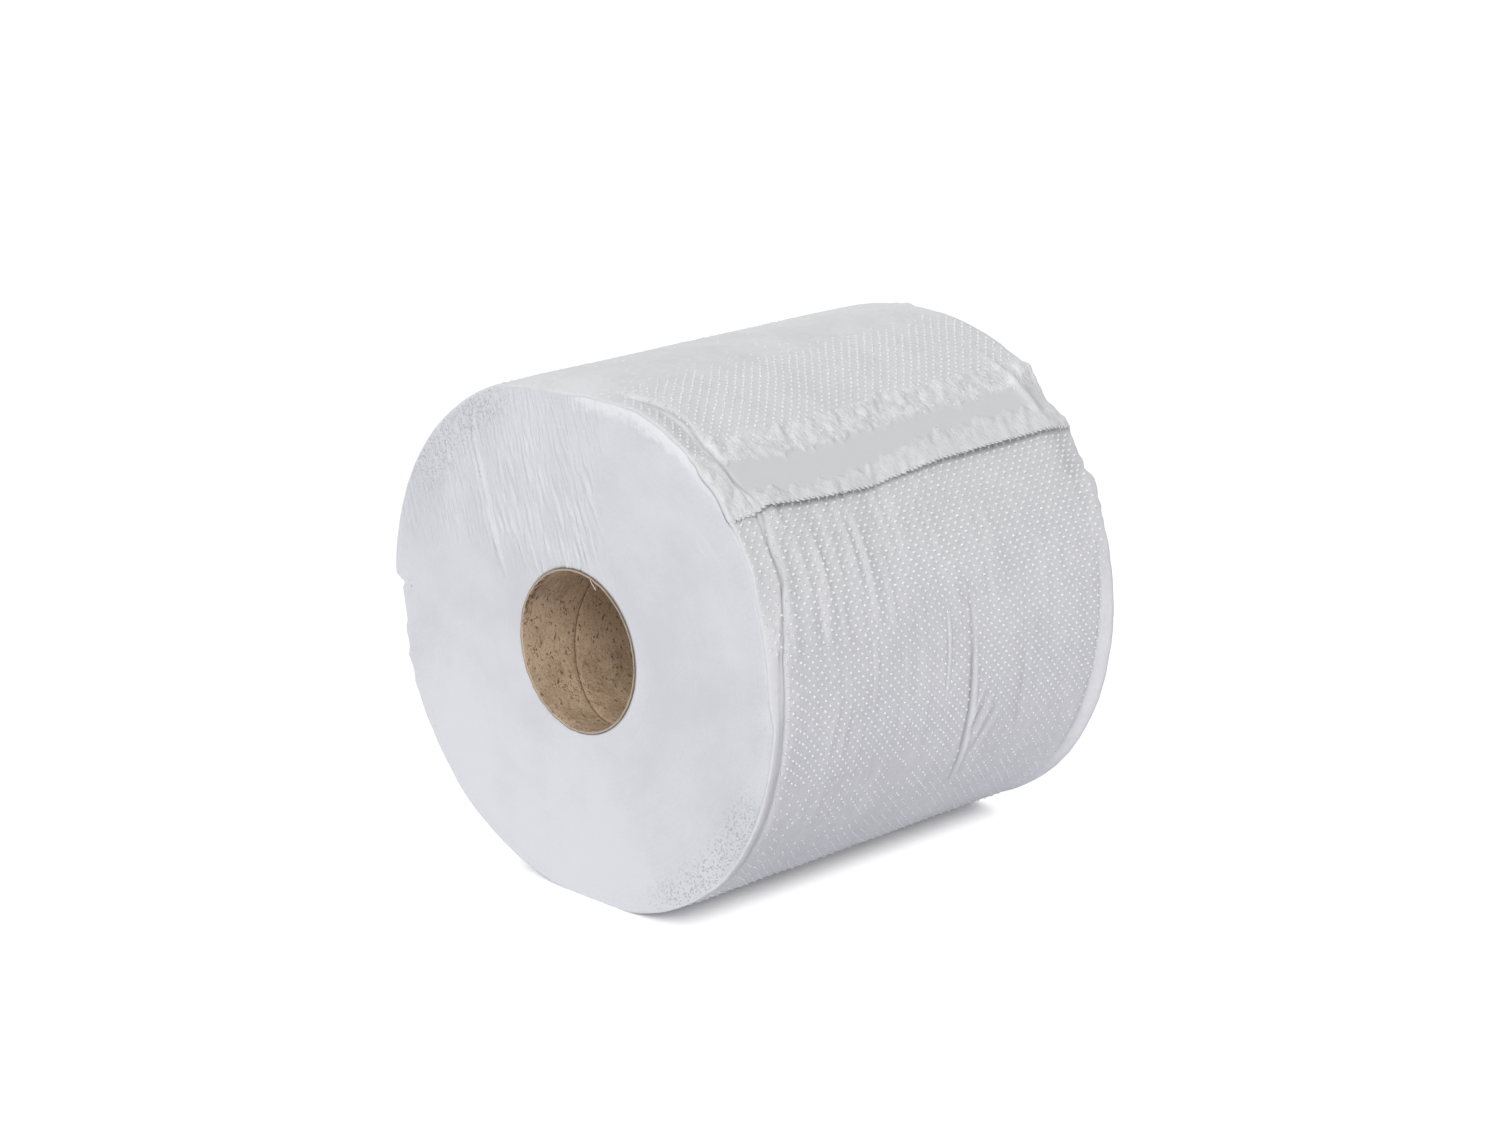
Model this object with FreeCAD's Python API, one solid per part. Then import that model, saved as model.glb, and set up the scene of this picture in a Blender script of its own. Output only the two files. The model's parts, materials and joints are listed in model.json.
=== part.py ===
import FreeCAD, Part

# Center pull paper towel roll, lying on its side on the flat spot that its own weight gives it.
# Two pieces: a spiral-wound paperboard core, and the embossed paper web wound on it as one solid.
#
# Millimetres, +Z up. The roll's axis runs along Y and its front end faces -Y. The origin lies on the
# supporting surface, below the middle of the roll. Angles are in degrees round the axis, from +X
# towards +Z. Depths are measured from the front end face, towards the back.

import math
import os

# Paperboard core
CORE_BORE_DIAMETER = 58.0
CORE_WALL = 1.0
CORE_STANDOUT = 0.6  # each end of the core stands this far out of the paper
SEAM_PITCH = 53.0  # the inner ply's butt joint climbs this far in each turn
SEAM_WIDTH = 0.6
SEAM_DEPTH = 0.25
SEAM_ANGLE = 358.0  # where the seam meets the paper's front face

# Wound paper: its whole form
WEB_WIDTH = 175.0
WINDING_CLEARANCE = 0.05  # between the core and the first turn
ROLL_RADIUS = 97.5  # mean radius of the wound paper
OUT_OF_ROUND = (-0.4, 2.1, -0.9, 3.4, 2.2, -2.8, -4.5, 0.4)  # added to the mean radius, each 45 degrees
FLAT_DEPTH = 1.5  # how far the weight of the roll flattens its underside

# The loose end of the web, its tail, points down on the right
SHEET_THICKNESS = 0.35
TAIL_ANGLE = 39.5  # middle of the tail's edge
TAIL_WANDER = 0.8  # the edge wanders this many degrees up and down
TAIL_GAP_LOW = 0.4  # the gap under the edge where it lies close
TAIL_GAP_HIGH = 1.6  # and where it is lifted
TAIL_WAVE_LENGTH = 97.0  # of the lifted edge, along the roll
TAIL_WAVE_CREST = 32.0  # depth of its first crest
FLAP_SPAN = 18.0  # degrees over which the loose sheet settles on the roll
GAP_SPAN = 3.5  # degrees that the gap reaches in under the edge

# Ends of the wound paper
RIM_ROUNDING = 1.2
CREASE_FROM, CREASE_TO = -33.0, 80.0  # the front shoulder is crushed between these angles
CREASE_NEAR = 4.0  # depth of the crease at the ends of the crushed stretch
CREASE_REACH = 11.0  # how much deeper it lies at its middle
CREASE_SKEW = 2.2  # over 1 moves the crease's middle towards the top
CREASE_STEP = 1.6  # width of the slope at the crease
CREASE_DROP = 1.9  # how far the crushed band lies below the rest
SLUMP_FROM, SLUMP_TO = 55.0, 128.0  # the front rim is pressed in round the top
SLUMP_DROP = 2.6
FAR_CREASE_INSET = 10.5  # the far crease, from the back end face
FAR_DROP = 3.2  # the sheet beyond the far crease hangs this much lower
FAR_DROP_SPAN = 15.0  # over these degrees, from where the gap under the tail ends
FLARE_FROM, FLARE_TO = -62.0, 8.0  # the back rim is splayed between these angles
FLARE_INSET = 5.0
FLARE_RISE = 2.3

# The edge of the outermost turn, seen on both end faces as a spiral line
TURNS_SHOWN = 1
TURN_PITCH = 2.6
TURN_INSET = 2.0  # from the end face's outline to the start of the spiral
TURN_WIDTH = 0.5
TURN_DEPTH = 0.35

MIDDLE_STATIONS = 6  # sections between the two creases
COARSE_STEP = 7.5  # degrees between the points of a section
FINE_STEP = 3.0  # and under the tail, where it bends more

FULL_TURN = 360.0
CORE_RADIUS = CORE_BORE_DIAMETER / 2 + CORE_WALL


def out_of_round(angle):
    """The smooth closed curve that passes through OUT_OF_ROUND."""
    count = len(OUT_OF_ROUND)
    total = 0.0
    for index, offset in enumerate(OUT_OF_ROUND):
        half_gap = math.radians(angle - index * FULL_TURN / count) / 2
        if abs(math.sin(half_gap)) < 1e-9:
            return offset
        total += offset * math.sin(count * half_gap) / (count * math.tan(half_gap))
    return total


def body_radius(angle):
    return ROLL_RADIUS + out_of_round(angle)


def hump(angle, start, end, skew=1.0):
    """0 outside start and end, and a smooth rise to 1 and back between them."""
    angle = (angle + FULL_TURN / 2) % FULL_TURN - FULL_TURN / 2
    if not start < angle < end:
        return 0.0
    share = (angle - start) / (end - start)
    return math.sin(math.pi * share ** skew)


def tail_wave(depth):
    """1 where the tail's edge is lifted most, 0 where it lies closest."""
    return 0.5 + 0.5 * math.cos(2 * math.pi * (depth - TAIL_WAVE_CREST) / TAIL_WAVE_LENGTH)


def tail_angle(depth):
    return TAIL_ANGLE + TAIL_WANDER * (2 * tail_wave(depth) - 1)


def tail_gap(depth):
    return TAIL_GAP_LOW + (TAIL_GAP_HIGH - TAIL_GAP_LOW) * tail_wave(depth)


def flap_rise(turned, depth):
    """How far the loose sheet stands off the roll, at an angle turned past the tail's edge."""
    if turned >= FLAP_SPAN:
        return 0.0
    left = 1 - turned / FLAP_SPAN
    return (SHEET_THICKNESS + tail_gap(depth)) * left * left


def crushed(angle):
    return hump(angle, CREASE_FROM, CREASE_TO, CREASE_SKEW)


def front_rim_drop(angle):
    return CREASE_DROP * crushed(angle) + SLUMP_DROP * hump(angle, SLUMP_FROM, SLUMP_TO)


def far_drop(angle):
    start = TAIL_ANGLE + GAP_SPAN
    return FAR_DROP * hump(angle, start, start + FAR_DROP_SPAN)


def back_rim_drop(angle):
    return far_drop(angle) - FLARE_RISE * hump(angle, FLARE_FROM, FLARE_TO)


def crease_depth(angle):
    return CREASE_NEAR + CREASE_REACH * crushed(angle)


def stations():
    """The web's sections from front to back, each as (depth at an angle, drop at an angle)."""
    rounding = [(RIM_ROUNDING * (1 - math.sin(math.radians(turn))),
                 RIM_ROUNDING * (1 - math.cos(math.radians(turn)))) for turn in (90, 45, 0)]
    front = [(lambda angle, inset=inset: inset,
              lambda angle, cut=cut: front_rim_drop(angle) + cut) for inset, cut in rounding]
    crease = [(lambda angle: crease_depth(angle) - CREASE_STEP / 2,
               lambda angle: CREASE_DROP * crushed(angle)),
              (lambda angle: crease_depth(angle) + CREASE_STEP / 2,
               lambda angle: 0.0)]
    first = CREASE_NEAR + CREASE_REACH + 2 * CREASE_STEP
    last = WEB_WIDTH - FAR_CREASE_INSET
    middle = [(lambda angle, depth=first + (last - first) * index / MIDDLE_STATIONS: depth,
               lambda angle: 0.0) for index in range(MIDDLE_STATIONS + 1)]
    flare = [(lambda angle: WEB_WIDTH - FLARE_INSET,
              lambda angle: far_drop(angle) / 2)]
    back = [(lambda angle, inset=inset: WEB_WIDTH - inset,
             lambda angle, cut=cut: back_rim_drop(angle) + cut) for inset, cut in reversed(rounding)]
    return front + crease + middle + flare + back


def extent(direction):
    """How far the body reaches along +X (1) or -X (-1)."""
    return max(direction * body_radius(angle) * math.cos(math.radians(angle)) for angle in range(360))


AXIS_X = (extent(-1) - extent(1)) / 2
AXIS_Z = body_radius(270.0) - FLAT_DEPTH


def place(radius, angle, depth):
    turn = math.radians(angle)
    return FreeCAD.Vector(AXIS_X + radius * math.cos(turn),
                          depth - WEB_WIDTH / 2,
                          AXIS_Z + radius * math.sin(turn))


def smooth_edge(points, parameters):
    curve = Part.BSplineCurve()
    curve.interpolate(Points=points, Parameters=parameters)
    return curve.toShape()


def spaced(start, end, step):
    """Evenly spaced values from start up to end, end left out, at most step apart."""
    count = max(1, math.ceil((end - start) / step))
    return [start + (end - start) * index / count for index in range(count)]


def section_turns():
    """How far past the tail's edge each point of a section lies: close together round the tail."""
    return (spaced(0.0, FLAP_SPAN, FINE_STEP) + spaced(FLAP_SPAN, FULL_TURN, COARSE_STEP)
            + [FULL_TURN, FULL_TURN + GAP_SPAN / 2, FULL_TURN + GAP_SPAN])


def section(depth_at, drop_at):
    """One closed section of the web: once round the roll, back out under the tail, and up its edge."""
    edge_depth = depth_at(TAIL_ANGLE)
    edge_angle = tail_angle(edge_depth)

    def on_sheet(turned, rise):
        angle = edge_angle + turned
        depth = depth_at(TAIL_ANGLE + turned)
        return place(body_radius(angle) + rise(turned, depth) - drop_at(TAIL_ANGLE + turned), angle, depth)

    def gap_rise(turned, depth):
        return tail_gap(depth) * (1 - turned / GAP_SPAN)

    outside = [on_sheet(turned, flap_rise) for turned in section_turns()]
    under_turns = [GAP_SPAN, GAP_SPAN / 2, 0.0]
    underside = [outside[-1]] + [on_sheet(turned, gap_rise) for turned in under_turns[1:]]
    return Part.Wire([smooth_edge(outside, section_turns()),
                      smooth_edge(underside, [GAP_SPAN - turned for turned in under_turns]),
                      Part.makeLine(underside[-1], outside[0])])


def turn_spiral(depth, drop_at, outwards):
    """The shallow spiral line that the edges of the outer turns draw on an end face."""
    turns = spaced(0.0, TURNS_SHOWN * FULL_TURN, COARSE_STEP)

    def side(inset, at_depth):
        points = []
        for turned in turns:
            angle = TAIL_ANGLE + turned
            radius = body_radius(angle) - drop_at(angle) - inset - TURN_PITCH * turned / FULL_TURN
            points.append(place(radius, angle, at_depth))
        return smooth_edge(points, turns)

    def outline(at_depth):
        outer, inner = side(TURN_INSET, at_depth), side(TURN_INSET + TURN_WIDTH, at_depth)
        start, end = (Part.makeLine(outer.Vertexes[tip].Point, inner.Vertexes[tip].Point) for tip in (0, -1))
        return Part.Wire(Part.__sortEdges__([outer, end, inner, start]))

    levels = (depth + outwards * TURN_DEPTH, depth - outwards * TURN_DEPTH)
    return Part.makeLoft([outline(level) for level in levels], True, True)


def bar_along_y(radius, reach):
    """A round bar on the roll's axis, past both ends of the web by reach."""
    start = place(0.0, 0.0, -reach)
    return Part.makeCylinder(radius, WEB_WIDTH + 2 * reach, start, FreeCAD.Vector(0, 1, 0))


def make_paper_roll():
    rows = stations()
    web = Part.makeLoft([section(*row) for row in rows], True, True)
    below_floor = Part.makeBox(4 * ROLL_RADIUS, 2 * WEB_WIDTH, ROLL_RADIUS,
                               FreeCAD.Vector(-2 * ROLL_RADIUS, -WEB_WIDTH, -ROLL_RADIUS))
    web = web.cut(below_floor)
    web = web.cut(bar_along_y(CORE_RADIUS + WINDING_CLEARANCE, WEB_WIDTH))
    web = web.cut(turn_spiral(0.0, rows[0][1], -1))
    return web.cut(turn_spiral(WEB_WIDTH, rows[-1][1], 1))


def seam_groove():
    """The butt joint of the core's inner ply: a shallow helical groove from end to end of the bore."""
    reach = CORE_STANDOUT + SEAM_WIDTH
    radius = CORE_BORE_DIAMETER / 2
    height = WEB_WIDTH + 2 * reach
    helix = Part.makeHelix(SEAM_PITCH, height, radius)
    corners = [FreeCAD.Vector(radius - SEAM_DEPTH, 0, -SEAM_WIDTH),
               FreeCAD.Vector(radius - SEAM_DEPTH, 0, SEAM_WIDTH),
               FreeCAD.Vector(radius + SEAM_DEPTH, 0, 0)]
    profile = Part.makePolygon(corners + corners[:1])
    groove = Part.Wire(helix).makePipeShell([profile], True, True)
    groove.rotate(FreeCAD.Vector(0, 0, 0), FreeCAD.Vector(1, 0, 0), -90)
    groove.rotate(FreeCAD.Vector(0, 0, 0), FreeCAD.Vector(0, 1, 0),
                  -SEAM_ANGLE - reach * FULL_TURN / SEAM_PITCH)
    groove.translate(place(0.0, 0.0, -reach))
    return groove


def make_core():
    tube = bar_along_y(CORE_RADIUS, CORE_STANDOUT)
    tube = tube.cut(bar_along_y(CORE_BORE_DIAMETER / 2, WEB_WIDTH))
    return tube.cut(seam_groove())


def main():
    os.makedirs("parts", exist_ok=True)
    for name, shape in (("core", make_core()), ("paper_roll", make_paper_roll())):
        solid = shape.Solids[0]
        box = solid.optimalBoundingBox()
        print(name, "solids", len(shape.Solids), "valid", solid.isValid(), "volume", round(solid.Volume),
              "box", [round(value, 2) for value in (box.XMin, box.YMin, box.ZMin,
                                                    box.XMax, box.YMax, box.ZMax)])
        solid.exportStep(os.path.join("parts", name + ".step"))


main()
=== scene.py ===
"""Center pull paper towel roll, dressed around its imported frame.

Two pieces of the frame are replaced: the paperboard core, and the embossed paper wound on it. The
script works in millimetres and degrees, as the frame's source does, and turns them into metres when it
writes a mesh. Angles run round the roll's axis from +X towards +Z, and depths run back from the front end.
"""

import json
import logging
import math
from dataclasses import dataclass, field
from enum import Enum

import bmesh
import bpy
import numpy as np
from mathutils import Euler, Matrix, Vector


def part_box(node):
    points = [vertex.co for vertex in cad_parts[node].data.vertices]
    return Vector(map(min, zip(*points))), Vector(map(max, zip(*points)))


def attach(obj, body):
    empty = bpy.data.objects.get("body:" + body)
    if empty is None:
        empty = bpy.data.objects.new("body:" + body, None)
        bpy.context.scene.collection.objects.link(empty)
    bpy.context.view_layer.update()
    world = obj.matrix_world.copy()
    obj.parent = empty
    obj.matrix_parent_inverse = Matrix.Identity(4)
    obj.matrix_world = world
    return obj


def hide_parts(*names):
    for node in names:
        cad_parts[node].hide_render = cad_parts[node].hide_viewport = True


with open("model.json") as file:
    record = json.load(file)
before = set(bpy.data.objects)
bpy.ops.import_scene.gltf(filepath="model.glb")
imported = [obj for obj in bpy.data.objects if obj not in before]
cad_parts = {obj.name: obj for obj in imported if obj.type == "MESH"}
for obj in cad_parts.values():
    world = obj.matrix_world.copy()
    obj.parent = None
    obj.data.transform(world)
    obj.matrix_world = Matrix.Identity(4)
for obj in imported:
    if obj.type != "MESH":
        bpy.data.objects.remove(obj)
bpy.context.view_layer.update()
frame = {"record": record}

LOG = logging.getLogger("towel_roll")
MM = 0.001
FULL_TURN = 360.0

# Sizes that several classes share, in millimetres and degrees.
WEB_WIDTH = 175.0
MEAN_RADIUS = 97.5
CORE_BORE = 29.0
SEAM_PITCH = 53.0
SEAM_ANGLE = 358.0

Array = np.ndarray
Colour = tuple[float, float, float, float]


class Slot(Enum):
    """The record's material slots."""

    PAPERBOARD = "paperboard"
    TOWEL = "towel_paper"


class Fold(Enum):
    """Which way a wrinkle stands."""

    RIDGE = 1.0
    VALLEY = -1.0


# ---------------------------------------------------------------------------------------------------
# Small numerical helpers


def smooth_step(value: Array, start: float, end: float) -> Array:
    """Rises smoothly from 0 to 1.

    Args:
        value: Where it is wanted.
        start: Where the rise begins.
        end: Where it is complete. It may lie below start.

    Returns:
        The share risen at each value.
    """
    share = np.clip((value - start) / (end - start), 0.0, 1.0)
    return share * share * (3.0 - 2.0 * share)


def window(value: Array, start: float, end: float, edge: float) -> Array:
    """1 between start and end, falling to 0 over a soft edge outside them.

    Args:
        value: Where it is wanted.
        start: Low end of the window.
        end: High end of the window.
        edge: Width of each soft edge.

    Returns:
        The window's weight at each value.
    """
    return smooth_step(value, start - edge, start) * smooth_step(value, end + edge, end)


def wrapped(angle: Array) -> Array:
    """The same angle between -180 and 180 degrees."""
    return (angle + FULL_TURN / 2) % FULL_TURN - FULL_TURN / 2


def hump(angle: Array, start: float, end: float, skew: float = 1.0) -> Array:
    """0 outside start and end, and a smooth rise to 1 and back between them.

    Args:
        angle: Angles in degrees.
        start: Where the hump begins.
        end: Where it ends.
        skew: Over 1 moves the middle of the hump towards its end.

    Returns:
        The height of the hump at each angle.
    """
    share = np.clip((wrapped(angle) - start) / (end - start), 0.0, 1.0)
    return np.sin(np.pi * share ** skew)


def bell(distance: Array, width: float | Array) -> Array:
    """A bell curve that falls to a third at the width."""
    return np.exp(-(distance / width) ** 2)


def stepped(*spans: tuple[float, float, float]) -> Array:
    """Places along a line, each span from its start, up to its end, at its own step."""
    return np.concatenate([np.arange(*span) for span in spans])


@dataclass(frozen=True)
class Zone:
    """A stretch of angles or depths where something happens, with soft edges outside it."""

    start: float
    end: float
    edge: float
    weight: float = 1.0

    def at(self, value: Array) -> Array:
        """The weight inside the stretch, falling to 0 over its edges."""
        return self.weight * window(value, self.start, self.end, self.edge)


@dataclass(frozen=True)
class Line:
    """A line through a few places, with its corners eased."""

    knots: tuple[tuple[float, float], ...]
    ease: float

    def at(self, where: Array) -> Array:
        """The line's value.

        Args:
            where: Places along the line.

        Returns:
            The value at each place.
        """
        places, values = zip(*self.knots)
        shifts = [share * self.ease for share in (-1.0, -0.5, 0.0, 0.5, 1.0)]
        return sum(np.interp(where + shift, places, values) for shift in shifts) / len(shifts)


@dataclass
class SoftNoise:
    """Smooth seeded noise between -1 and 1 on the unrolled surface, whole round one turn."""

    seed: int
    around: int
    cell: float
    rows: int = 64
    values: Array = field(init=False)

    def __post_init__(self) -> None:
        """Draws the values at the corners of the cells."""
        self.values = np.random.default_rng(self.seed).uniform(-1.0, 1.0, (self.around, self.rows))

    def at(self, angle: Array, depth: Array) -> Array:
        """The noise.

        Args:
            angle: Angles in degrees.
            depth: Depths in millimetres.

        Returns:
            The value at each place.
        """
        across = np.asarray(angle) / FULL_TURN * self.around
        along = np.asarray(depth) / self.cell + self.rows / 3
        column, row = np.floor(across).astype(int), np.floor(along).astype(int)
        right, up = across - column, along - row
        right, up = right * right * (3 - 2 * right), up * up * (3 - 2 * up)

        def corner(step: int, rise: int) -> Array:
            """The drawn value at one corner of each place's cell."""
            return self.values[(column + step) % self.around, (row + rise) % self.rows]

        low = corner(0, 0) * (1 - right) + corner(1, 0) * right
        high = corner(0, 1) * (1 - right) + corner(1, 1) * right
        return low * (1 - up) + high * up


@dataclass(frozen=True)
class Wrinkle:
    """A long narrow fold on a flat or unrolled surface, in millimetres.

    It runs from start to end, bows sideways in the middle, and fades out towards both ends.
    """

    fold: Fold
    start: tuple[float, float]
    end: tuple[float, float]
    width: float
    height: float
    bow: float = 0.0

    def rise(self, across: Array, along: Array) -> Array:
        """How far the fold lifts the surface.

        Args:
            across: First coordinate of each place.
            along: Second coordinate of each place.

        Returns:
            The lift in millimetres, below zero in a valley.
        """
        run = (self.end[0] - self.start[0], self.end[1] - self.start[1])
        length = math.hypot(*run)
        unit = (run[0] / length, run[1] / length)
        ahead = (across - self.start[0]) * unit[0] + (along - self.start[1]) * unit[1]
        aside = (along - self.start[1]) * unit[0] - (across - self.start[0]) * unit[1]
        share = np.clip(ahead / length, 0.0, 1.0)
        aside = aside - self.bow * 4 * share * (1 - share)
        past = ahead - share * length
        return (self.fold.value * self.height * bell(np.hypot(aside, past), self.width)
                * np.sin(np.pi * np.clip(share, 0.04, 0.96)) ** 0.6)


def folded(rows: dict[Fold, tuple], step: float = 1.0) -> list[Wrinkle]:
    """Wrinkles from rows of values.

    Args:
        rows: For each way of standing, rows of (start, end, width, height, bow).
        step: Millimetres in each unit of the first coordinates.

    Returns:
        The wrinkles.
    """
    return [Wrinkle(fold, (start[0] * step, start[1]), (end[0] * step, end[1]), *shape)
            for fold, found in rows.items() for start, end, *shape in found]


# ---------------------------------------------------------------------------------------------------
# The wound paper's form


@dataclass(frozen=True)
class WebForm:
    """The outline of the wound paper, with the same named values as the frame's source."""

    width: float = WEB_WIDTH
    mean_radius: float = MEAN_RADIUS
    out_of_round: tuple[float, ...] = (-0.4, 2.1, -0.9, 3.4, 2.2, -2.8, -4.5, 0.4)
    sheet: float = 0.35
    rim_rounding: float = 0.9
    crease_from: float = -58.0
    crease_to: float = 80.0
    crease_step: float = 1.15
    crease_drop: float = 0.45
    slump_from: float = 71.0
    slump_to: float = 114.0
    slump_drop: float = 3.7
    slump_reach: float = 12.0
    flare_from: float = -62.0
    flare_to: float = 17.0
    flare_rise: float = 2.3
    flare_inset: float = 5.0
    far_crease_inset: float = 11.0
    far_drop: float = 3.2

    @property
    def round_mm(self) -> float:
        """Millimetres round the roll for each degree."""
        return math.radians(self.mean_radius)

    def body(self, angle: Array) -> Array:
        """The smooth closed curve that passes through the radii out of round.

        Args:
            angle: Angles in degrees.

        Returns:
            The radius of the body at each angle.
        """
        count = len(self.out_of_round)
        total = np.full(np.shape(angle), self.mean_radius)
        for index, offset in enumerate(self.out_of_round):
            half_gap = np.radians(np.asarray(angle) - index * FULL_TURN / count) / 2
            near = np.abs(np.sin(half_gap)) < 1e-9
            half_gap = np.where(near, 1.0, half_gap)
            share = np.sin(count * half_gap) / (count * np.tan(half_gap))
            total = total + offset * np.where(near, 1.0, share)
        return total


@dataclass(frozen=True)
class Tail:
    """The loose end of the paper: its edge, the gap under it and the strip that lifts."""

    edge_line: Line = Line(((0, 39.1), (12, 39.4), (16, 40.5), (28, 39.7), (44, 38.9), (66, 38.6),
                            (78, 39.3), (102, 40.3), (130, 40.4), (160, 40.6), (175, 40.0)), 2.0)
    gap_line: Line = Line(((0, 0.2), (11, 0.5), (20, 1.9), (54, 2.0), (69, 0.9), (90, 1.5),
                           (112, 2.1), (130, 2.3), (157, 1.8), (175, 0.7)), 3.0)
    least_gap: float = 0.05
    gap_span: float = 2.8
    lift_span: float = 4.6
    settle_span: float = 18.0

    def edge(self, depth: Array) -> Array:
        """The angle of the edge at each depth."""
        return self.edge_line.at(depth)

    def gap(self, depth: Array, width: float) -> Array:
        """The height of the gap under the edge, nearly closed at both ends of a web of that width."""
        closed = smooth_step(depth, 0.0, 2.0) * smooth_step(depth, width, width - 2.0)
        return self.gap_line.at(depth) * (self.least_gap + (1 - self.least_gap) * closed)


@dataclass(frozen=True)
class Shoulder:
    """The front shoulder of the web: a crease round the right side, and the paper pressed in before it."""

    form: WebForm = WebForm()
    crease_line: Line = Line(((-60, 4.0), (-36, 6.2), (-20, 5.8), (0, 5.6), (10, 5.9), (17, 8.0),
                              (25, 11.2), (32, 10.8), (38, 12.3), (42, 11.9), (47, 10.4), (52, 10.5),
                              (58, 10.6), (64, 11.5), (70, 11.2), (76, 9.8), (84, 6.0), (100, 4.0)),
                             1.2)
    bevel: float = 1.1
    step_face: float = 0.65
    gentle_face: float = 8.0
    slump_power: float = 1.6
    crush_skew: float = 2.4
    crush_bulge: float = 0.5
    wide_above: Zone = Zone(54.0, 72.0, 3.5, 0.9)
    wide_below: Zone = Zone(29.0, 37.0, 4.0, 1.4)
    stepped: Zone = Zone(-44.0, 76.0, 8.0)
    gentle: Zone = Zone(57.0, 80.0, 6.0)
    flush: Zone = Zone(43.0, 52.0, 4.0, 0.6)
    tucked: Zone = Zone(1.0, 22.0, 6.0, 1.7)
    dropped: Zone = Zone(40.0, 51.0, 2.5, 1.1)
    rolled: Zone = Zone(-46.0, 14.0, 8.0, 0.5)
    lipped: Zone = Zone(14.0, 36.0, 6.0, 0.35)
    beside_tail: Zone = Zone(40.5, 54.0, 3.0)
    shaded: Zone = Zone(-44.0, 74.0, 6.0)

    def crushed(self, angle: Array) -> Array:
        """How much of the front shoulder is crushed at each angle, from 0 to 1."""
        return hump(angle, self.form.crease_from, self.form.crease_to, self.crush_skew)

    def crease_depth(self, angle: Array) -> Array:
        """The depth of the front crease at each angle."""
        return self.crease_line.at(wrapped(angle))

    def crease_slope(self, turn: Array) -> Array:
        """Width of the smooth bevel behind the crease, wide above the tail and just below it."""
        return self.bevel + self.wide_above.at(turn) + self.wide_below.at(turn)

    def pinched(self, angle: Array, depth: Array) -> Array:
        """Where the band before the crease is pinched beside the tail, from 0 to 1."""
        before = smooth_step(depth - self.crease_depth(angle), -0.6, -1.6) * (depth > 0.6)
        return self.beside_tail.at(wrapped(angle)) * before

    def shade(self, angle: Array, depth: Array) -> Array:
        """How much painted shade darkens the line of the crease at each place, from 0 to 1."""
        return self.shaded.at(wrapped(angle)) * bell(depth - self.crease_depth(angle) - 0.1, 0.42)

    def drop(self, angle: Array, depth: Array) -> Array:
        """How far the shoulder is pressed in.

        Args:
            angle: Angles in degrees.
            depth: Depths in millimetres.

        Returns:
            The drop in millimetres.
        """
        form = self.form
        turn = wrapped(angle)
        crushed = self.crushed(angle)
        past = depth - self.crease_depth(angle)
        share = np.clip(depth / np.maximum(self.crease_depth(angle) - 0.5, 0.5), 0.0, 1.0)
        slump = (form.slump_drop * hump(angle, form.slump_from, form.slump_to)
                 * (1 - np.clip(depth / form.slump_reach, 0.0, 1.0)) ** self.slump_power)
        bevel = bell(past, self.crease_slope(turn))
        step = (form.crease_step + form.crease_drop * crushed) * self.stepped.at(turn)
        gentle = self.gentle.at(turn)
        face = smooth_step(past, -self.step_face - self.gentle_face * gentle, 0.0)
        step = step * np.where(past < 0, face, bevel) * (1 + 0.4 * gentle - self.flush.at(turn))
        tuck = self.tucked.at(turn) * (1 - share)
        sink = self.dropped.at(turn) * (1 - share) ** 2
        roll = self.rolled.at(turn) * np.sin(np.pi * share)
        lip = self.lipped.at(turn) * bell(past + 1.5, 1.0)
        bulge = (self.crush_bulge * crushed * (1 - 0.9 * smooth_step(turn, 38.0, 46.0))
                 * np.where(past > 0, bell(past - 5.0, 4.0), 0.0))
        return slump + step + tuck + sink - roll - lip - bulge


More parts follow.
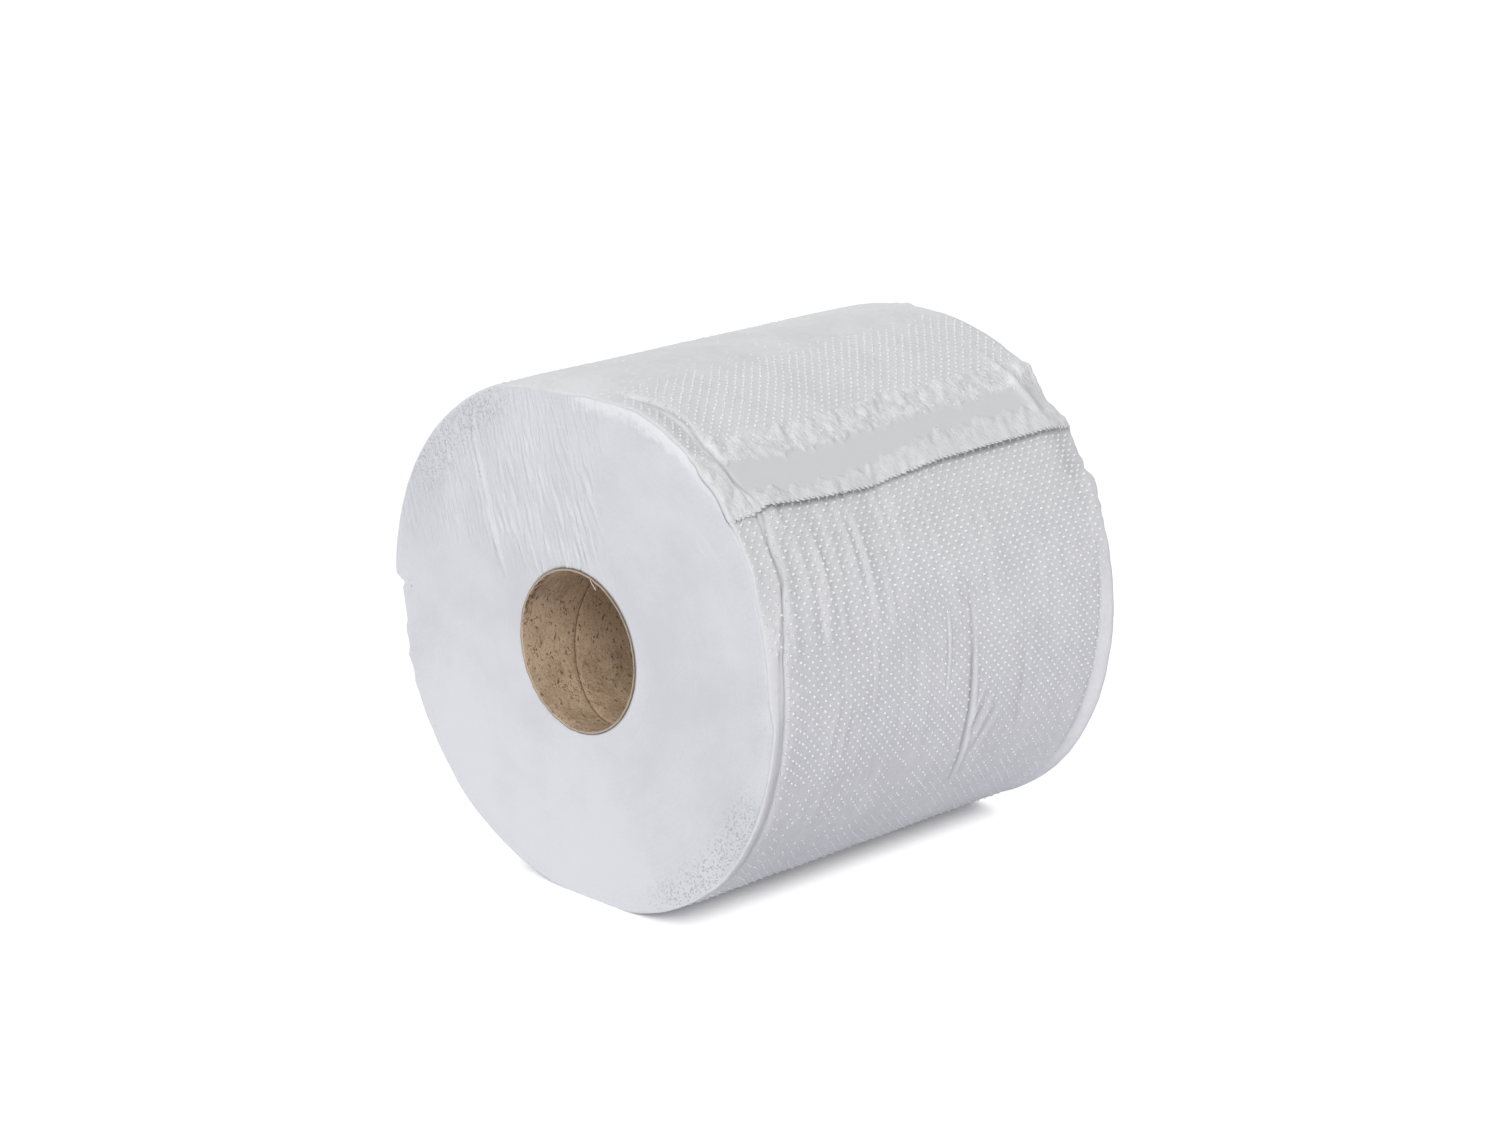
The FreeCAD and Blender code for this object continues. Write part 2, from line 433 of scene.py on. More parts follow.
@dataclass(frozen=True)
class BackEnd:
    """The back end of the outer sheet: it hangs at the tail, is splayed at the right, and is ragged."""

    form: WebForm = WebForm()
    ragged: SoftNoise = field(default_factory=lambda: SoftNoise(15, 210, 2.0))
    hanging: tuple[float, float] = (41.5, 55.0)
    ridged: tuple[float, float] = (40.5, 68.0)
    ridge_height: float = 1.2
    corner_angle: float = 56.5
    corner_height: float = 1.5
    groove_depth: float = 0.8
    scraps: Zone = Zone(90.5, 97.5, 0.8, 1.6)
    below: Zone = Zone(31.0, 38.5, 3.0, 2.2)
    tail_rim: Zone = Zone(40.0, 62.0, 4.0, 0.9)
    right_rim: Zone = Zone(18.0, 34.0, 3.0, 0.7)

    def flare(self, angle: Array) -> Array:
        """How much the back rim is splayed at each angle, from 0 to 1."""
        return hump(angle, self.form.flare_from, self.form.flare_to)

    def drop(self, angle: Array, depth: Array) -> Array:
        """How far the back end of the outer sheet hangs in, below zero where it is splayed.

        Args:
            angle: Angles in degrees.
            depth: Depths in millimetres.

        Returns:
            The drop in millimetres.
        """
        form = self.form
        turn = wrapped(angle)
        crease = form.width - form.far_crease_inset - 0.15 * (turn - 47.0)
        past = depth - crease
        sag = form.far_drop * hump(angle, *self.hanging) * np.clip(past / 6.0, 0.0, 1.0) ** 0.8
        ridge = self.ridge_height * hump(angle, *self.ridged) * bell(past + 1.0, 1.9)
        scraps = (self.scraps.at(turn) * smooth_step(depth, 170.0, 173.5)
                  * np.clip(self.ragged.at(angle, depth + 11.0) - 0.1, 0.0, 1.0))
        corner = self.corner_height * bell(turn - self.corner_angle, 2.4) * smooth_step(past, 1.0, 8.0)
        below = self.below.at(turn) * smooth_step(depth, 158.0, form.width - 1.0)
        flare = self.flare(angle)
        band = form.width - form.flare_inset
        splay = form.flare_rise * flare * smooth_step(depth, band, form.width - 1.0)
        groove = self.groove_depth * np.minimum(2 * flare, 1.0) * bell(depth - band + 1.0, 0.9)
        return sag + below - ridge - corner - splay - scraps + groove

    def wander(self, angle: Array, end: float) -> Array:
        """How far the rim of the outer sheet is ragged along the axis.

        Args:
            angle: Angles in degrees.
            end: 0 for the front rim and 1 for the back rim.

        Returns:
            The wander outwards in millimetres.
        """
        turn = wrapped(angle)
        rims = (self.tail_rim.at(turn) + self.right_rim.at(turn)) * end
        return self.ragged.at(angle, 31.0 + 40.0 * end) * (0.12 + rims)


@dataclass(frozen=True)
class EmbossZones:
    """Where round the roll the dots are worn down, hidden or pulled flat, in degrees."""

    slope: Zone = Zone(54.0, 74.0, 6.0)
    bare_right: Zone = Zone(13.0, 38.5, 3.0, 0.9)
    bare_above: Zone = Zone(55.0, 84.0, 3.0, 0.8)
    hanging: Zone = Zone(41.0, 58.0, 3.0)
    top: Zone = Zone(86.0, 112.0, 12.0, 0.97)
    under: Zone = Zone(-150.0, -26.0, 22.0)
    calm: Zone = Zone(-8.0, 10.0, 10.0)
    calm_depths: Zone = Zone(64.0, 86.0, 10.0)
    low_above: Zone = Zone(50.0, 104.0, 8.0, 0.7)
    low_below: Zone = Zone(-60.0, -20.0, 12.0, 0.9)


@dataclass
class OuterSurface:
    """Every place on the outside of the wound paper, with its creases, wrinkles and relief."""

    form: WebForm = WebForm()
    tail: Tail = Tail()
    shoulder: Shoulder = Shoulder()
    back: BackEnd = field(default_factory=BackEnd)
    worn: EmbossZones = EmbossZones()
    toothed: Zone = Zone(178.0, 199.0, 3.0, 1.4)
    pleated_side: Zone = Zone(-40.0, 36.0, 10.0, 0.12)
    pleated_below: Zone = Zone(14.0, 39.0, 6.0, 0.52)
    pleated_depths: Zone = Zone(16.0, 62.0, 14.0)
    strip_end: Line = Line(((0, 3.6), (70, 3.8), (105, 6.4), (175, 6.2)), 6.0)
    torn_line: Line = Line(((175.6, 0.0), (176.8, 4.8), (183, 4.8), (190, 2.4), (205, 1.6),
                            (216, 1.4), (230, 0.0)), 0.2)
    band_end: float = 11.4
    crush_end: float = 17.6
    glue_inset: float = 20.0
    broad: SoftNoise = field(default_factory=lambda: SoftNoise(11, 15, 38.0))
    middling: SoftNoise = field(default_factory=lambda: SoftNoise(12, 62, 11.0))
    fine: SoftNoise = field(default_factory=lambda: SoftNoise(13, 170, 3.6))
    crumple: SoftNoise = field(default_factory=lambda: SoftNoise(14, 110, 3.0, 80))
    pleats: SoftNoise = field(default_factory=lambda: SoftNoise(16, 26, 2.7))
    crinkle: SoftNoise = field(default_factory=lambda: SoftNoise(17, 150, 2.0, 128))

    def wrinkles(self) -> list[Wrinkle]:
        """The long folds that run round the right side, each between two places (degrees, depth)."""
        return folded({
            Fold.RIDGE: (
                ((12, 88.3), (-9, 88.0), 0.6, 0.45, 0.4), ((11, 50.6), (-7, 50.0), 0.6, 0.60, -0.4),
                ((1, 101.8), (-32, 107.0), 0.9, 0.60, 0.3), ((-8, 109.5), (-18, 102.8), 0.9, 0.60, 0.5),
                ((-12, 114.5), (-24, 107.0), 0.9, 0.50, 0.5), ((-16, 120.5), (-27, 110.5), 0.9, 0.40, 0.5),
                ((0, 33.5), (-15, 29.5), 1.2, 0.40, 1.0), ((-3, 38.5), (-16, 35.5), 1.1, 0.30, 0.8)),
            Fold.VALLEY: (
                ((11, 87.2), (-8, 86.9), 0.6, 0.35, 0.4), ((14, 99.2), (-12, 101.0), 0.9, 0.50, 0.2),
                ((-1, 99.9), (-33, 104.8), 1.0, 1.0, 0.3), ((-10, 111.3), (-21, 104.3), 0.9, 0.55, 0.5),
                ((-14, 117.0), (-26, 108.5), 0.9, 0.40, 0.5), ((16, 92.0), (9, 101.0), 0.8, 0.25, 0.5),
                ((18, 96.0), (11, 105.0), 0.8, 0.25, 0.5), ((-4, 128.0), (-24, 131.0), 1.4, 0.3, 1.0)),
        }, self.form.round_mm)

    def zones(self, turned: Array, depth: Array) -> tuple[Array, Array, Array]:
        """Where the loose strip, the smooth glue band and the crushed zone above it lie.

        Args:
            turned: Degrees past the tail's edge.
            depth: Depths in millimetres.

        Returns:
            The weight of the strip, of the band and of the crushed zone at each place.
        """
        outer = turned < FULL_TURN / 2
        behind = smooth_step(depth - self.shoulder.crease_depth(self.tail.edge(depth) + turned), -0.2, 0.6)
        before = smooth_step(depth, self.form.width - 8.0, self.form.width - self.glue_inset)
        fine, coarse = self.crinkle.at(turned, depth), self.crumple.at(turned, depth)
        fuzzy, spiked = turned + 0.7 * fine + 0.9 * coarse, turned + 0.8 * fine + 0.8 * coarse
        start = self.strip_end.at(depth)
        strip = np.where(outer, smooth_step(fuzzy, start + 0.4, start - 0.5), 0.0)
        band = np.where(outer, window(fuzzy, start, self.band_end, 0.5), 0.0) * before
        crush = np.where(outer, window(spiked, self.band_end + 1.4, self.crush_end, 2.4), 0.0)
        return strip * behind, band * behind, crush * behind

    def crumpled(self, turned: Array, depth: Array) -> Array:
        """How finely crumpled each place is, from 0 to 1."""
        strip, _, crush = self.zones(turned, depth)
        outer = turned < FULL_TURN / 2
        beside = self.shoulder.pinched(self.tail.edge(depth) + turned, depth) * outer
        share = 0.5 + 0.5 * smooth_step(depth, 34.0, 20.0)
        return np.clip(crush + share * strip + 0.8 * beside, 0.0, 1.0)

    def relief(self, angle: Array, turned: Array, depth: Array) -> Array:
        """The small unevenness of the embossed sheet.

        Args:
            angle: Angles in degrees.
            turned: Degrees past the tail's edge.
            depth: Depths in millimetres.

        Returns:
            The rise in millimetres.
        """
        turn = wrapped(angle)
        strip, band, crush = self.zones(turned, depth)
        ends = window(depth, 5.0, self.form.width - 6.0, 4.0)
        below = self.pleated_below.at(turn) * self.pleated_depths.at(depth)
        pleated = (self.pleated_side.at(turn) + below) * (turned > FULL_TURN / 2)
        soft = 0.28 * self.broad.at(angle, depth) * ends
        quilt = (0.12 * self.middling.at(angle, depth) + 0.12 * self.fine.at(angle, depth)
                 + pleated * self.pleats.at(angle, depth)) * (1 - 0.9 * band)
        crush = crush * smooth_step(turned, self.band_end, self.band_end + 3.5)
        lumps = self.crumple.at(angle, depth - 0.8 * turned)
        creases = self.crinkle.at(angle, depth)
        crumpled = ((0.52 * lumps + 0.18 * creases) * crush + (0.42 * lumps + 0.06 * creases) * strip
                    + (0.32 * lumps + 0.28 * creases) * self.shoulder.pinched(angle, depth) - 0.07 * band)
        return soft + quilt + crumpled + self.folds(turn, depth)

    def folds(self, turn: Array, depth: Array) -> Array:
        """How far the long folds lift the sheet at each place, in millimetres."""
        return sum(wrinkle.rise(turn * self.form.round_mm, depth) for wrinkle in self.wrinkles())

    def painted_shade(self, turned: Array, depth: Array) -> Array:
        """How much painted shade darkens each place, from 0 to 1: the line of the front crease, the long
        valleys and the strip under the tail's edge.
        """
        angle = self.tail.edge(depth) + turned
        turn = wrapped(angle)
        below = np.maximum(FULL_TURN - turned, 0.0) * self.form.round_mm
        # Painted shadow on the sheet just below the tail's edge, deeper where the gap under it is wider; the
        # crease line and the long valleys get painted shade too.
        shade = 0.33 * self.tail.gap(depth, self.form.width) * bell(below, 2.1) * (turned > FULL_TURN / 2)
        dark = 0.85 * self.shoulder.shade(angle, depth) - 0.8 * self.folds(turn, depth) + shade
        return np.clip(dark, 0.0, 1.0)

    def torn(self, angle: Array, depth: Array) -> Array:
        """How deep the outer turns are torn away at the front rim's left side, in millimetres."""
        turn = np.asarray(angle) % FULL_TURN
        tooth = self.toothed.at(turn) * self.back.ragged.at(angle, 7.0)
        return (self.torn_line.at(turn) + tooth) * smooth_step(depth, 9.0, 0.8)

    def radius(self, turned: Array, depth: Array) -> tuple[Array, Array]:
        """The outer surface of the paper.

        Args:
            turned: Degrees past the tail's edge, up to a full turn and the gap's span.
            depth: Depths in millimetres.

        Returns:
            The angle and the radius of each place.
        """
        angle = self.tail.edge(depth) + turned
        left = np.clip(1 - turned / self.tail.settle_span, 0.0, 1.0)
        loose = np.clip(1 - turned / self.tail.lift_span, 0.0, 1.0)
        flap = self.form.sheet * left ** 2 + self.tail.gap(depth, self.form.width) * loose ** 1.5
        radius = (self.form.body(angle) + flap - self.shoulder.drop(angle, depth)
                  - self.back.drop(angle, depth) + self.relief(angle, turned, depth)
                  - self.torn(angle, depth))
        return angle, radius

    def underside(self, turned: Array, depth: Array) -> tuple[Array, Array]:
        """The underside of the loose strip, at angles turned past the tail's edge."""
        angle, radius = self.radius(turned + FULL_TURN, depth)
        loose = np.clip(1 - turned / self.tail.gap_span, 0.0, 1.0)
        return angle - FULL_TURN, radius + self.tail.gap(depth, self.form.width) * loose ** 1.5

    def glued(self, turned: Array, depth: Array) -> Array:
        """How much of the smooth glue band each place is in, from 0 to 1."""
        return self.zones(turned, depth)[1]

    def emboss(self, turned: Array, depth: Array) -> Array:
        """How clearly the dots stand out.

        Args:
            turned: Degrees past the tail's edge.
            depth: Depths in millimetres.

        Returns:
            A share from 0 to 1 at each place.
        """
        worn = self.worn
        angle = self.tail.edge(depth) + turned
        turn = wrapped(angle)
        strip, band, crush = self.zones(turned, depth)
        past = depth - self.shoulder.crease_depth(angle)
        crushed = np.maximum(np.minimum(self.shoulder.crushed(angle) * 4, 1.0), worn.slope.at(turn))
        slope = window(past, -0.8, 0.8 * self.shoulder.crease_slope(turn), 0.6) * crushed
        shoulder = smooth_step(past, -0.2, -0.9) * (1 - worn.bare_right.at(turn) - worn.bare_above.at(turn))
        far = worn.hanging.at(turn) * smooth_step(depth, 161.0, 163.0)
        rim = smooth_step(depth, 0.8, 2.0) * smooth_step(depth, self.form.width - 0.8, self.form.width - 2.0)
        flare = np.minimum(3 * self.back.flare(angle), 1.0) * smooth_step(depth, 168.5, 170.0)
        under = worn.under.at(turn)
        calm = worn.calm.at(turn) * (0.5 + 0.5 * worn.calm_depths.at(depth))
        uneven = 0.5 + 0.5 * self.middling.at(angle, depth + 57.0)
        low = np.maximum(worn.low_above.at(turn), worn.low_below.at(turn))
        folded = np.clip(1.8 * np.abs(self.folds(turn, depth)), 0.0, 1.0)
        share = ((1 - 0.35 * under - 0.35 * uneven * under) * (1 - worn.top.at(turn)) * (1 - 0.50 * calm)
                 * (1 - 0.6 * low) * (1 - folded))
        return np.clip(share * (1 - 0.85 * crush) * (1 - strip) * (1 - band) * (1 - slope)
                       * (1 - shoulder) * (1 - far) * rim * (1 - flare), 0.0, 1.0)


@dataclass
class EndSurface:
    """The sawn end of the wound paper: how far each place stands out of its plane."""

    seed: int
    creased: bool
    dish_depth: float = 0.3
    lip_groove: float = 0.7
    lip_inset: float = 0.35
    fine_count: int = 60
    sunken_right: Zone = Zone(-40.0, -2.0, 8.0, 0.6)
    fringe: Zone = Zone(46.0, 88.0, 6.0, 0.35)
    hole_lip: Zone = Zone(-110.0, 90.0, 20.0, 0.5)
    shallow_groove: Zone = Zone(-56.0, 36.0, 4.0, 0.35)
    deep_groove: Zone = Zone(36.0, 54.0, 3.0, 0.8)
    dish: SoftNoise = field(init=False)
    ripple: SoftNoise = field(init=False)

    def __post_init__(self) -> None:
        """Draws this end's unevenness."""
        self.dish = SoftNoise(self.seed, 9, 30.0)
        self.ripple = SoftNoise(self.seed + 1, 120, 2.4)

    def wrinkles(self) -> list[Wrinkle]:
        """The long creases, as (X, Z) from the axis, and fine ones that run down to the hole."""
        if not self.creased:
            return folded({
                Fold.RIDGE: (((44.0, 72.0), (27.0, 30.0), 2.4, 1.5, 3.0),
                             ((-72.0, 34.0), (-40.0, 14.0), 2.4, 1.3, -3.0),
                             ((-70.0, -46.0), (-32.0, -22.0), 2.4, 1.2, -2.0)),
                Fold.VALLEY: (((36.0, 70.0), (22.0, 34.0), 2.4, 1.2, 2.0),
                              ((12.0, 84.0), (6.0, 40.0), 2.4, 1.1, 1.0)),
            })
        found = folded({
            Fold.RIDGE: (((-54.5, 84.0), (-53.2, 62.0), 0.65, 1.3, -0.4),
                         ((-53.6, 67.0), (-46.0, 38.5), 0.7, 1.7, 0.8),
                         ((-47.5, 43.0), (-38.6, 19.5), 0.65, 1.4, 0.5),
                         ((-60.0, 84.0), (-58.5, 70.0), 0.5, 0.35, 0.0),
                         ((-72.4, 62.8), (-66.0, 52.7), 0.6, 0.45, 0.3),
                         ((-67.0, 37.5), (-61.8, 30.6), 0.6, 0.45, 0.0),
                         ((58.0, 52.0), (68.0, 46.0), 0.6, 0.4, 0.0)),
            Fold.VALLEY: (((-55.0, 68.0), (-47.4, 37.5), 0.7, 0.7, 0.8),
                          ((61.0, 57.0), (73.0, 47.0), 0.6, 0.35, 0.6)),
        })
        draw = np.random.default_rng(self.seed + 2)
        for _ in range(self.fine_count):
            across, up = draw.uniform(-46.0, 14.0), draw.uniform(30.0, 80.0)
            lean = math.radians(draw.uniform(-8.0, 8.0) - 12.0 - 0.25 * (across + 46.0))
            length = draw.uniform(7.0, 20.0)
            end = (across - math.sin(lean) * length, up - math.cos(lean) * length)
            found.append(Wrinkle(draw.choice(list(Fold)), (across, up), end, draw.uniform(0.42, 0.65),
                                 draw.uniform(0.28, 0.75), draw.uniform(-0.8, 0.8)))
        return found

    def rise(self, angle: Array, radius: Array, rim: Array) -> Array:
        """How far the end stands out of its plane.

        Args:
            angle: Angles in degrees.
            radius: Distances from the axis.
            rim: The rim's own radius at each angle.

        Returns:
            The rise outwards in millimetres.
        """
        inside = rim - radius
        turn = wrapped(angle)
        away = smooth_step(inside, 0.0, 6.0) * smooth_step(radius, 30.5, 36.0)
        lift = (0.22 * self.dish.at(angle, radius) + 0.03 * self.ripple.at(angle, radius)) * away
        lift = lift - self.dish_depth * np.clip(inside / 66.0, 0.0, 1.0)
        if self.creased:
            fringe = self.fringe.at(turn) * (0.7 + 0.5 * self.ripple.at(angle, radius))
            groove = ((self.shallow_groove.at(turn) + self.deep_groove.at(turn))
                      * (1.0 + 0.5 * self.ripple.at(angle, 3 * radius)))
            lift = lift - self.sunken_right.at(turn) * smooth_step(inside, 5.5, 0.6)
            lift = lift - fringe * smooth_step(inside, 5.0, 0.4)
            lift = lift + self.hole_lip.at(turn) * bell(radius - 30.0, 3.5)
            lift = lift - self.lip_groove * groove * bell(inside - self.lip_inset, 0.25)
        across, up = radius * np.cos(np.radians(angle)), radius * np.sin(np.radians(angle))
        for wrinkle in self.wrinkles():
            lift = lift + wrinkle.rise(across, up) * smooth_step(inside, 0.0, 3.0)
        return lift


# ---------------------------------------------------------------------------------------------------
# Node trees


class Wire:
    """One output of a node. Reckoning with it adds Math nodes to its tree."""

    def __init__(self, graph: "Graph", socket: bpy.types.NodeSocket) -> None:
        """Keeps the socket and the tree that it belongs to."""
        self.graph, self.socket = graph, socket

    def __add__(self, other: object) -> "Wire":
        """The sum."""
        return self.graph.math("ADD", self, other)

    def __sub__(self, other: object) -> "Wire":
        """The difference."""
        return self.graph.math("SUBTRACT", self, other)

    def __rsub__(self, other: object) -> "Wire":
        """The difference from a number."""
        return self.graph.math("SUBTRACT", other, self)

    def __mul__(self, other: object) -> "Wire":
        """The product."""
        return self.graph.math("MULTIPLY", self, other)

    def __truediv__(self, other: object) -> "Wire":
        """The quotient."""
        return self.graph.math("DIVIDE", self, other)

    def __abs__(self) -> "Wire":
        """The size without the sign."""
        return self.graph.math("ABSOLUTE", self)

    __radd__ = __add__
    __rmul__ = __mul__


class Graph:
    """Adds nodes to a tree and joins them."""

    def __init__(self, tree: bpy.types.NodeTree) -> None:
        """Starts on an emptied tree."""
        self.tree = tree
        tree.nodes.clear()

    @staticmethod
    def pick(sockets: bpy.types.NodeInputs, name: str | int) -> bpy.types.NodeSocket:
        """The enabled socket of that name, or the one at that place."""
        if isinstance(name, int):
            return [socket for socket in sockets if socket.enabled][name]
        return next(socket for socket in sockets if socket.enabled and socket.name == name)

    def node(self, kind: str, inputs: dict | None = None, **settings: object) -> bpy.types.Node:
        """Adds a node.

        Args:
            kind: Blender's name for the node type.
            inputs: Values or wires for its inputs, by name or by place.
            settings: The node's own properties.

        Returns:
            The node.
        """
        made = self.tree.nodes.new(kind)
        for name, value in settings.items():
            setattr(made, name, value)
        for name, value in (inputs or {}).items():
            socket = self.pick(made.inputs, name)
            if isinstance(value, Wire):
                self.tree.links.new(value.socket, socket)
            else:
                socket.default_value = value
        return made

    def out(self, kind: str, inputs: dict | None = None, output: str | int = 0, **settings: object) -> Wire:
        """Adds a node and returns one of its outputs."""
        return Wire(self, self.pick(self.node(kind, inputs, **settings).outputs, output))

    def outs(self, kind: str, inputs: dict | None = None, **settings: object) -> list[Wire]:
        """Adds a node and returns all its outputs."""
        made = self.node(kind, inputs, **settings)
        return [Wire(self, socket) for socket in made.outputs if socket.enabled]

    def math(self, operation: str, *values: object) -> Wire:
        """A Math node's result."""
        return self.out("ShaderNodeMath", dict(enumerate(values)), operation=operation)

    def greatest(self, first: Wire, *others: Wire) -> Wire:
        """The greatest of several values at each place."""
        for other in others:
            first = self.math("MAXIMUM", first, other)
        return first

    def vector(self, operation: str, *values: object) -> Wire:
        """A Vector Math node's result."""
        return self.out("ShaderNodeVectorMath", dict(enumerate(values)), operation=operation)

    def combined(self, *parts: object) -> Wire:
        """A vector put together from its parts. Those that are left out are 0."""
        return self.out("ShaderNodeCombineXYZ", dict(enumerate(parts)))

    def ramp(self, value: object, low: float, high: float, start: float = 0.0, end: float = 1.0) -> Wire:
        """A smooth rise from start to end while the value goes from low to high."""
        return self.out("ShaderNodeMapRange", {0: value, 1: low, 2: high, 3: start, 4: end},
                        interpolation_type="SMOOTHSTEP")

    def between(self, value: Wire, rise: tuple[float, float], fall: tuple[float, float]) -> Wire:
        """A smooth rise from 0 to 1 over the first span and a smooth fall back to 0 over the second."""
        return self.ramp(value, *rise) * self.ramp(value, *fall[::-1])

    def noise(self, vector: Wire, scale: float, detail: float = 2.0, roughness: float = 0.5) -> Wire:
        """A noise texture's value."""
        return self.out("ShaderNodeTexNoise", {"Vector": vector, "Scale": scale, "Detail": detail,
                                               "Roughness": roughness})

    def blend(self, factor: object, first: object, second: object) -> Wire:
        """Two colours mixed."""
        return self.out("ShaderNodeMix", {0: factor, 1: first, 2: second}, data_type="RGBA")

    def stained(self, colour: Wire, *stains: tuple[Wire, object]) -> Wire:
        """The colour with other colours laid over it, each with its own share, the first one lowest."""
        for share, stain in stains:
            colour = self.blend(share, colour, stain)
        return colour

    def attribute(self, name: str) -> Wire:
        """A number that the mesh holds for each vertex."""
        return self.out("ShaderNodeAttribute", output="Fac", attribute_name=name)

    def bumps(self, *layers: tuple[float, float, Wire]) -> Wire:
        """A normal disturbed by layers of relief, each a strength, a distance in metres and a height."""
        below = {}
        for strength, distance, height in layers:
            normal = self.out("ShaderNodeBump", {"Strength": strength, "Distance": distance,
                                                 "Height": height, **below})
            below = {"Normal": normal}
        return normal

    def directly_seen(self) -> Wire:
        """1 for rays that the camera sends straight, or by a mirror or glass, and 0 for other rays."""
        path = self.node("ShaderNodeLightPath")
        return self.greatest(*(Wire(self, path.outputs[f"Is {kind} Ray"])
                               for kind in ("Camera", "Glossy", "Transmission")))


@dataclass(frozen=True)
class Axis:
    """The roll's axis in the frame, read from the record's core bore, in millimetres."""

    x: float
    z: float
    front: float

    @classmethod
    def from_frame(cls) -> "Axis":
        """Reads the bore's place and the web's front end."""
        bore = next(mount for mount in frame["record"]["mounts"] if mount["name"] == "core_bore")
        low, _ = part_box("paper_roll")
        return cls(bore["pos_m"][0] / MM, bore["pos_m"][2] / MM, low.y / MM)

    def place(self, angle: Array, radius: Array, depth: Array) -> Array:
        """Points in the frame, in metres.

        Args:
            angle: Angles in degrees.
            radius: Distances from the axis in millimetres.
            depth: Depths in millimetres.

        Returns:
            An array whose last dimension is X, Y, Z.
        """
        turn = np.radians(angle)
        height = np.maximum(self.z + radius * np.sin(turn), 0.0)
        return np.stack([self.x + radius * np.cos(turn), self.front + depth, height], axis=-1) * MM


AXIS = Axis.from_frame()


class RollCoordinates:
    """Where a shaded point lies on the roll, in metres and radians, from its Object coordinates."""

    def __init__(self, graph: Graph, mean_radius: float) -> None:
        """Works the coordinates out.

        Args:
            graph: The material's nodes.
            mean_radius: The radius that turns angles into metres.
        """
        self.graph = graph
        self.point = graph.out("ShaderNodeTexCoord", output="Object")
        centred = graph.vector("SUBTRACT", self.point, (AXIS.x * MM, 0.0, AXIS.z * MM))
        self.across, self.along, self.up = graph.outs("ShaderNodeSeparateXYZ", {0: centred})
        self.angle = graph.math("ARCTAN2", self.up, self.across)
        self.radius = graph.math("SQRT", self.across * self.across + self.up * self.up)
        self.round = self.angle * mean_radius

    def sheet_noise(self, round_scale: float, along_scale: float, detail: float, roughness: float) -> Wire:
        """Noise on the unrolled surface, stretched differently each way."""
        flat = self.graph.combined(self.round * round_scale, self.along * along_scale)
        return self.graph.noise(flat, 1.0, detail, roughness)


def principled(graph: Graph, colour: Wire, roughness: object, normal: Wire, **fixed: float) -> None:
    """Ends a material in a Principled shader.

    Args:
        graph: The material's nodes.
        colour: Base colour.
        roughness: Roughness, as a wire or a number.
        normal: Normal.
        fixed: Other inputs, with spaces written as underscores.
    """
    inputs = {"Base Color": colour, "Roughness": roughness, "Normal": normal}
    inputs.update({name.replace("_", " "): value for name, value in fixed.items()})
    graph.node("ShaderNodeOutputMaterial", {"Surface": graph.out("ShaderNodeBsdfPrincipled", inputs)})


def new_material(name: str) -> tuple[bpy.types.Material, Graph]:
    """A named material and its emptied nodes."""
    material = bpy.data.materials.new(name)
    material.use_nodes = True
    return material, Graph(material.node_tree)


@dataclass(frozen=True)
class TowelPaper:
    """White creped tissue: the outside of the roll and its dots."""

    name: str = "embossed_towel_paper"
    pale: Colour = (0.785, 0.789, 0.802, 1.0)
    bright: Colour = (0.865, 0.868, 0.879, 1.0)
    glued: Colour = (0.80, 0.803, 0.813, 1.0)
    painted_shade_grey: Colour = (0.55, 0.56, 0.585, 1.0)
    highlight_and_fluff_white: Colour = (0.95, 0.953, 0.96, 1.0)
    # The colour of the painted shade in the crease lines, the long valleys and under the tail's edge.
    painted_shade_colour: Colour = (0.42, 0.415, 0.41, 1.0)
    stroke_height: float = 0.0006
    crepe_height: float = 0.00014
    fibre_height: float = 0.00008
    mottle_height: float = 0.00034

    def material(self) -> bpy.types.Material:
        """Builds the material: mottled tissue, stained where the skin says it is glued, with painted shade
        and highlight on the crumples and painted shade in the creases.
        """
        material, graph = new_material(self.name)
        where = RollCoordinates(graph, MEAN_RADIUS * MM)
        glued, crumpled, painted_shade = (graph.attribute(name) for name in ("glued", "crumpled", "painted_shade"))
        cloud = graph.noise(where.point, 45.0, 3.0)
        mottle = graph.noise(where.point, 520.0)
        fibre = graph.noise(where.point, 2600.0, 3.0, 0.6)
        crepe = where.sheet_noise(1500.0, 420.0, 3.0, 0.55)
        strokes = where.sheet_noise(560.0, 760.0, 3.0, 0.65)
        patches = where.sheet_noise(160.0, 260.0, 3.0, 0.65)

        tint = graph.ramp(cloud * 0.45 + (fibre * 0.25 + mottle * 0.3), 0.34, 0.66)
        # Painted shade in the hollows of the crumples, and a painted highlight on their crests together with
        # paler patches of fluff.
        pits = graph.ramp(strokes, 0.42, 0.30) * crumpled
        painted_highlight_and_fluff = graph.greatest(graph.ramp(strokes, 0.54, 0.66), graph.ramp(patches, 0.45, 0.56))
        colour = graph.stained(graph.blend(tint, self.pale, self.bright), (glued * 0.8, self.glued),
                               (pits * 0.5, self.painted_shade_grey), (painted_highlight_and_fluff * crumpled * 0.9, self.highlight_and_fluff_white),
                               (painted_shade * 0.8, self.painted_shade_colour))
        calm = 1.0 - glued * 0.85
        normal = graph.bumps((0.9, self.stroke_height, strokes * crumpled),
                             (0.5, self.mottle_height, mottle * calm),
                             (0.5, self.crepe_height, crepe * calm), (0.5, self.fibre_height, fibre))
        principled(graph, colour, graph.ramp(fibre, 0.3, 0.7, 0.86, 0.98), normal,
                   Specular_IOR_Level=0.25, Sheen_Weight=0.06)
        return material


